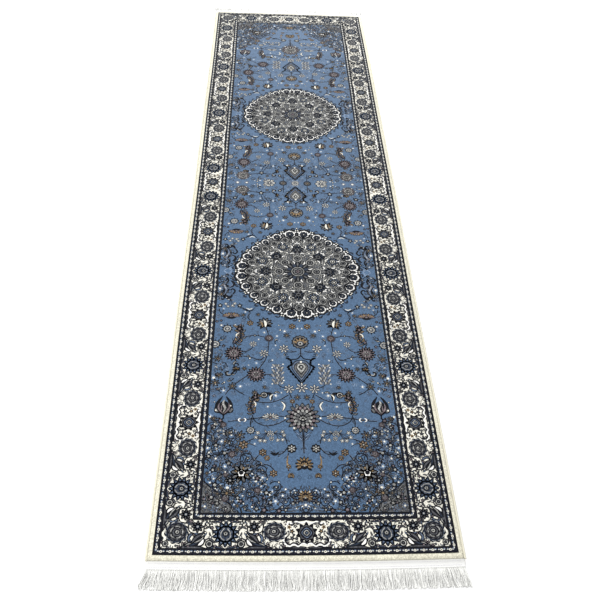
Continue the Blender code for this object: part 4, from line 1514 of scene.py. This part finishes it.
def clothMaterial(name, colours, pitch, settings):
    # plain-woven cotton or jute: threads over and under each other, a soft raised rib at every thread, with painted
    # shade between the threads
    material, tree, shader = newMaterial(name)
    place, (cloud,) = textures(tree, cloud=(settings["cloud"], 4.0))
    across, along = (wired(tree, "ShaderNodeTexWave", {
        "Vector": place, "Scale": waveAtOne / pitch, "Distortion": 0.6, "Detail": 1.0}, "Fac", bands_direction=way)
        for way in "XY")
    weave = across * along
    # painted shade: the colour is darker between the threads, where they dip under one another
    blend(tree, shader, remap(tree, weave, To_Min=0.0, To_Max=settings["weave"]) + cloud * 0.5, colours)
    finishShader(tree, shader, weave, 0.5, 0.0004, Roughness=0.85, Sheen_Weight=0.15)
    return material


juteWeave = clothMaterial("jute_ground_weave", ("#A8916B", "#C7B48E"), 0.0024, {"cloud": 60, "weave": 0.7})
cottonTape = clothMaterial("cotton_tape_weave", ("#DCDCDA", "#F2F2F0"), 0.0018, {"cloud": 40, "weave": 0.6})


def yarnMaterial(name, colours, roughness=0.8, sheen=0.25):
    # spun yarn: fine fibres that vary in brightness along their length
    material, tree, shader = newMaterial(name)
    place, (fibres, clumps) = textures(tree, fibres=(260.0, 4.0), clumps=(22.0, 2.0))
    blend(tree, shader, fibres * 0.5 + clumps * 0.5, colours)
    finishShader(tree, shader, fibres, 0.3, 0.0005, Roughness=roughness, Sheen_Weight=sheen)
    return material


fringeCotton = yarnMaterial("white_fringe_cotton", ("#E2E2DE", "#FFFFFC"))
# painted shade: the lower layer of fringe strands is coloured darker grey for the shade the upper strands cast on it
paintedShadeCotton = yarnMaterial("painted_shade_fringe_cotton", ("#A6A6A3", "#E6E6E3"))
overcastYarn = yarnMaterial("cream_overcast_yarn", ("#D9D4BC", "#F4F1E2"))
seamThread = yarnMaterial("lilac_grey_seam_thread", ("#B9B6C2", "#DEDCE4"), 0.6, 0.1)


def slabMesh(low, high, nx, ny):
    # a closed box with its top and bottom divided, so that it can follow the rug's bow
    return closedSlab("slab", nx, ny, lambda i, j, top: (
        low[0] + (high[0] - low[0]) * i / nx, low[1] + (high[1] - low[1]) * j / ny, high[2] if top else low[2]))


groundPiece = addPiece("ground_weave_cloth", slabMesh(groundBox[0], groundBox[1], 40, 160), juteWeave)
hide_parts("ground_weave")

# Fringe, tape and seams at each end; overcast yarn along each side.
fringeSettings = {
    "strands": (600, 560),       # in the lower and the upper layer
    "radius": 0.00066,
    "bunch": 0.011,      # strands draw together in bunches this wide
    "gather": 0.0018,
    "wander": 0.0066,
    "flare": 0.015,      # how far the corner strands lean outwards
    "uneven": 0.0048,
    "rise": 0.0042,       # how high a strand may arch off the floor
    "joints": 9,
    "sides": 5,
}


def fringeTree(s=fringeSettings):
    # a layer of strands that leave the tape, draw together in bunches and lie on the floor
    tree, given = newTree("fringe_strands", "Strands:Int Width Length Root:Vector Away Radius Bunch Gather Wander "
                                            "Flare Uneven Seed Yarn:Material")
    width, seed, wander = given["Width"], given["Seed"], given["Wander"]
    roots = addNode(tree, "GeometryNodeMeshLine", {
        "Count": given["Strands"], "Offset": xyz(tree, width / given["Strands"]),
        "Start Location": xyz(tree, width * -0.5)})
    strand = addNode(tree, "GeometryNodeCurvePrimitiveLine", {"Start": (0, 0, 0), "End": (0, 1, 0)})
    jointed = addNode(tree, "GeometryNodeResampleCurve", {"Curve": strand, "Count": s["joints"]})
    laid = addNode(tree, "GeometryNodeInstanceOnPoints", {"Points": roots, "Instance": jointed})
    real = addNode(tree, "GeometryNodeRealizeInstances", {"Geometry": laid})
    spot = addNode(tree, "ShaderNodeSeparateXYZ", {0: addNode(tree, "GeometryNodeInputPosition")})
    x, t = Wire(spot.outputs[0]), Wire(spot.outputs[1])
    chance = addNode(tree, "ShaderNodeTexWhiteNoise", {"Vector": xyz(tree, x * 731.0, 0.0, seed)},
                     noise_dimensions="3D")
    away = [Wire(o) for o in addNode(tree, "FunctionNodeSeparateColor", {0: chance.outputs["Color"]}).outputs]
    # towards the middle of its bunch, more so at the tip
    draw = ((x / given["Bunch"]).maths("FLOORED_MODULO", 1.0) - 0.5) * given["Gather"] * -2.0
    drift = wired(tree, "ShaderNodeTexNoise", {
        "Vector": xyz(tree, x * 60.0, t * 1.6, seed), "Scale": 1.0, "Detail": 1.0}, "Fac")
    sway = (drift - 0.5) * (wander * 4.0)
    own = (away[0] - 0.5) * wander
    share = x / width  # -0.5 to 0.5
    flare = (share * 2.0).maths("ABSOLUTE") ** 6.0 * share.maths("SIGN") * given["Flare"]
    outX = (draw + sway + (own + flare)) * t ** 1.3
    outY = (given["Length"] - away[1] * given["Uneven"]) * t * given["Away"]
    lift = away[2] * s["rise"] * (t * 2.9).maths("SINE")
    shaped = addNode(tree, "GeometryNodeSetPosition", {"Geometry": real, "Position": xyz(tree, x + outX, outY, lift)})
    section = addNode(tree, "GeometryNodeCurvePrimitiveCircle", {
        "Resolution": s["sides"], "Radius": given["Radius"]}, mode="RADIUS")
    tube = addNode(tree, "GeometryNodeCurveToMesh", {"Curve": shaped, "Profile Curve": section, "Fill Caps": True})
    placed = addNode(tree, "GeometryNodeTransform", {"Geometry": tube, "Translation": given["Root"]})
    return finishTree(tree, placed, given["Yarn"])


def capsule(length, radius, sides=6, rings=4):
    # a short thread lying along x, closed at both ends
    verts, faces = [], []
    for i in range(rings + 1):
        t = i / rings
        r = radius * (0.35 + 0.65 * math.sin(math.pi * t) ** 0.5)
        for k in range(sides):
            a = 2 * math.pi * k / sides
            verts.append(((t - 0.5) * length, r * math.cos(a),
                          r * math.sin(a) + radius * 0.5 * math.sin(math.pi * t)))
    for i in range(rings):
        for k in range(sides):
            a, b = i * sides + k, i * sides + (k + 1) % sides
            faces.append((a, b, b + sides, a + sides))
    faces.append(tuple(reversed(range(sides))))
    faces.append(tuple(rings * sides + k for k in range(sides)))
    return stand("stitch", meshOf("stitch", verts, faces))


fringeStrands = fringeTree()
seamSettings = {"pitch": 0.0042, "stitch": 0.0034, "radius": 0.0005}


def dressEnd(place, sign, f=fringeSettings, s=seamSettings):
    half = tapeBox[1].x
    tapeStart, tapeEnd, tipY = tapeBox[0].y, tapeBox[1].y, fringeBox[1].y
    low = (-half, min(sign * tapeStart, sign * tapeEnd), tapeBox[0].z)
    high = (half, max(sign * tapeStart, sign * tapeEnd), tapeBox[1].z)
    tape = addPiece(f"fringe_tape_cloth_{place}", slabMesh(low, high, 60, 6), cottonTape)
    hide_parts(f"fringe_tape_{place}")
    layers = []
    # the lower layer takes the darker cotton, painted shade under the upper strands
    for layer, yarn in enumerate((paintedShadeCotton, fringeCotton)):
        layers.append(grow(fringeStrands, {
            **{name[0].upper() + name[1:]: value for name, value in f.items()},
            "Strands": f["strands"][layer], "Width": 2 * half, "Length": tipY - tapeEnd + 0.004,
            "Root": (0, sign * (tapeEnd - 0.004), f["radius"] * (1.0 + 1.2 * layer)), "Away": sign,
            "Seed": 3.7 * layer + 11 * (sign + 2), "Yarn": yarn}))
    under = addPiece(f"fringe_understrands_{place}", layers[0], paintedShadeCotton)
    fringe = addPiece(f"fringe_strands_{place}", layers[1], fringeCotton)
    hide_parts(f"fringe_{place}")
    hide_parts(f"fringe_{place}")
    stitch = capsule(s["stitch"], s["radius"])
    count = int(2 * (half - 0.004) / s["pitch"])
    for row in ("inner", "outer"):
        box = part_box(f"tape_seam_{row}_{place}")
        mesh = grow(repeatAlong, {
            **plainRow, "Motif": stitch, "Count": count, "Pitch": s["pitch"], "Yarn": seamThread,
            "Start": (-count * s["pitch"] / 2, (box[0].y + box[1].y) / 2, tapeBox[1].z)})
        seam = addPiece(f"tape_stitches_{row}_{place}", mesh, seamThread)
        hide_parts(f"tape_seam_{row}_{place}")
    bpy.data.objects.remove(stitch)


for place, sign in (("front", -1), ("back", 1)):
    dressEnd(place, sign)
print("tapes, seams and fringes made")

overcastSettings = {"pitch": 0.0026, "yarnRadius": 0.0011, "slant": 0.0022, "around": 12, "sides": 4}


def wrapTurn(rx, rz, s=overcastSettings):
    # one slanted turn of yarn round the edge cord; y runs along the edge
    verts, faces = [], []
    n, m = s["around"], s["sides"]
    for i in range(n):
        a = 2 * math.pi * i / n
        centre = Vector((rx * math.cos(a), s["slant"] * 0.5 * math.cos(a), rz * math.sin(a)))
        out = Vector((math.cos(a), 0, math.sin(a)))
        for k in range(m):
            b = 2 * math.pi * (k + 0.5) / m
            verts.append(centre + out * s["yarnRadius"] * 0.8 * math.cos(b)
                         + Vector((0, s["yarnRadius"] * 1.35 * math.sin(b), 0)))
    for i in range(n):
        for k in range(m):
            after, beside = (i + 1) % n * m, (k + 1) % m
            faces.append((i * m + k, i * m + beside, after + beside, after + k))
    return stand("wrap_turn", meshOf("wrap_turn", [(v.y, v.x, v.z) for v in verts], faces))  # it steps along x


def turnFacesOut(mesh):
    work = bmesh.new()
    work.from_mesh(mesh)
    bmesh.ops.recalc_face_normals(work, faces=work.faces)
    work.to_mesh(mesh)
    work.free()


def overcast(place, sign, s=overcastSettings):
    centre = (edgeBox[0].x + edgeBox[1].x) / 2
    radius = (edgeBox[1].x - edgeBox[0].x) / 2 - s["yarnRadius"] * 0.8
    turn = wrapTurn(radius, radius)
    count = int(2 * pileEnd / s["pitch"])
    mesh = grow(repeatAlong, {
        **plainRow, "Motif": turn, "Count": count, "Pitch": s["pitch"], "Heading": math.radians(90),
        "Start": (sign * centre, -pileEnd + s["pitch"] / 2, radius + s["yarnRadius"] * 0.8), "Yarn": overcastYarn})
    bpy.data.objects.remove(turn)
    turnFacesOut(mesh)
    piece = addPiece(f"overcast_edge_{place}", mesh, overcastYarn)
    smoothShade(piece)
    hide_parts(f"edge_overcast_{place}", f"edge_cord_{place}")


for place, sign in (("left", -1), ("right", 1)):
    overcast(place, sign)
print("edges overcast")

# Floor, light and camera.
stageSettings = {"floor": "#F7F7F7", "size": 60.0, "sky": 0.62}
lightSettings = {  # place, what it faces, diameter in metres, watts
    "overhead_softbox": ((-1.5, -1.7, 3.2), (0, -0.3, 0), 0.8, 82),
    "far_softbox": ((0.3, 4.2, 2.4), (0, 1.0, 0), 2.0, 220),
}


def buildStage(s=stageSettings):
    h = s["size"] / 2
    floor = stand("floor", meshOf("floor", [(x * h, y * h, -0.0004) for x, y in ((-1, -1), (1, -1), (1, 1), (-1, 1))],
                                  [(0, 1, 2, 3)]))
    material, tree, shader = newMaterial("pale_studio_floor")
    shader.inputs["Base Color"].default_value = toLinear(s["floor"])
    shader.inputs["Roughness"].default_value = 1.0
    shader.inputs["Specular IOR Level"].default_value = 0.0
    floor.data.materials.append(material)
    world = bpy.data.worlds.new("studio")
    bpy.context.scene.world = world
    bpy.context.scene.view_settings.view_transform = "Standard"
    world.use_nodes = True
    background = world.node_tree.nodes["Background"]
    background.inputs[0].default_value = (1, 1, 1, 1)
    background.inputs[1].default_value = s["sky"]


buildStage()


def softLight(name, at, towards, size, watts):
    data = bpy.data.lights.new(name, "AREA")
    data.shape, data.size, data.energy = "DISK", size, watts
    lamp = stand(name, data)
    lamp.location = at
    lamp.rotation_euler = (Vector(towards) - Vector(at)).to_track_quat("-Z", "Y").to_euler()


for name, traits in lightSettings.items():
    softLight(name, *traits)

cameraSettings = {
    "place": (-0.1118, -2.1677, 1.6738),
    "yaw": 4.29,       # degrees, like the next two
    "pitch": 47.16,
    "roll": 3.8,
    "lens": 40.74,     # millimetres
    "sensor": 36,
}


def buildCamera(s=cameraSettings):
    yaw, pitch, roll = (math.radians(s[k]) for k in ("yaw", "pitch", "roll"))
    ahead = Vector((math.sin(yaw) * math.cos(pitch), math.cos(yaw) * math.cos(pitch), -math.sin(pitch)))
    right = ahead.cross(Vector((0, 0, 1))).normalized()
    up = right.cross(ahead)
    r = right * math.cos(roll) + up * math.sin(roll)
    u = up * math.cos(roll) - right * math.sin(roll)
    data = bpy.data.cameras.new("camera")
    data.lens, data.sensor_width = s["lens"], s["sensor"]
    camera = stand("camera", data)
    turn = camera.matrix_world.copy()
    for row in range(3):
        turn[row][0], turn[row][1], turn[row][2], turn[row][3] = r[row], u[row], -ahead[row], s["place"][row]
    camera.matrix_world = turn
    bpy.context.scene.camera = camera


buildCamera()
print("stage set")
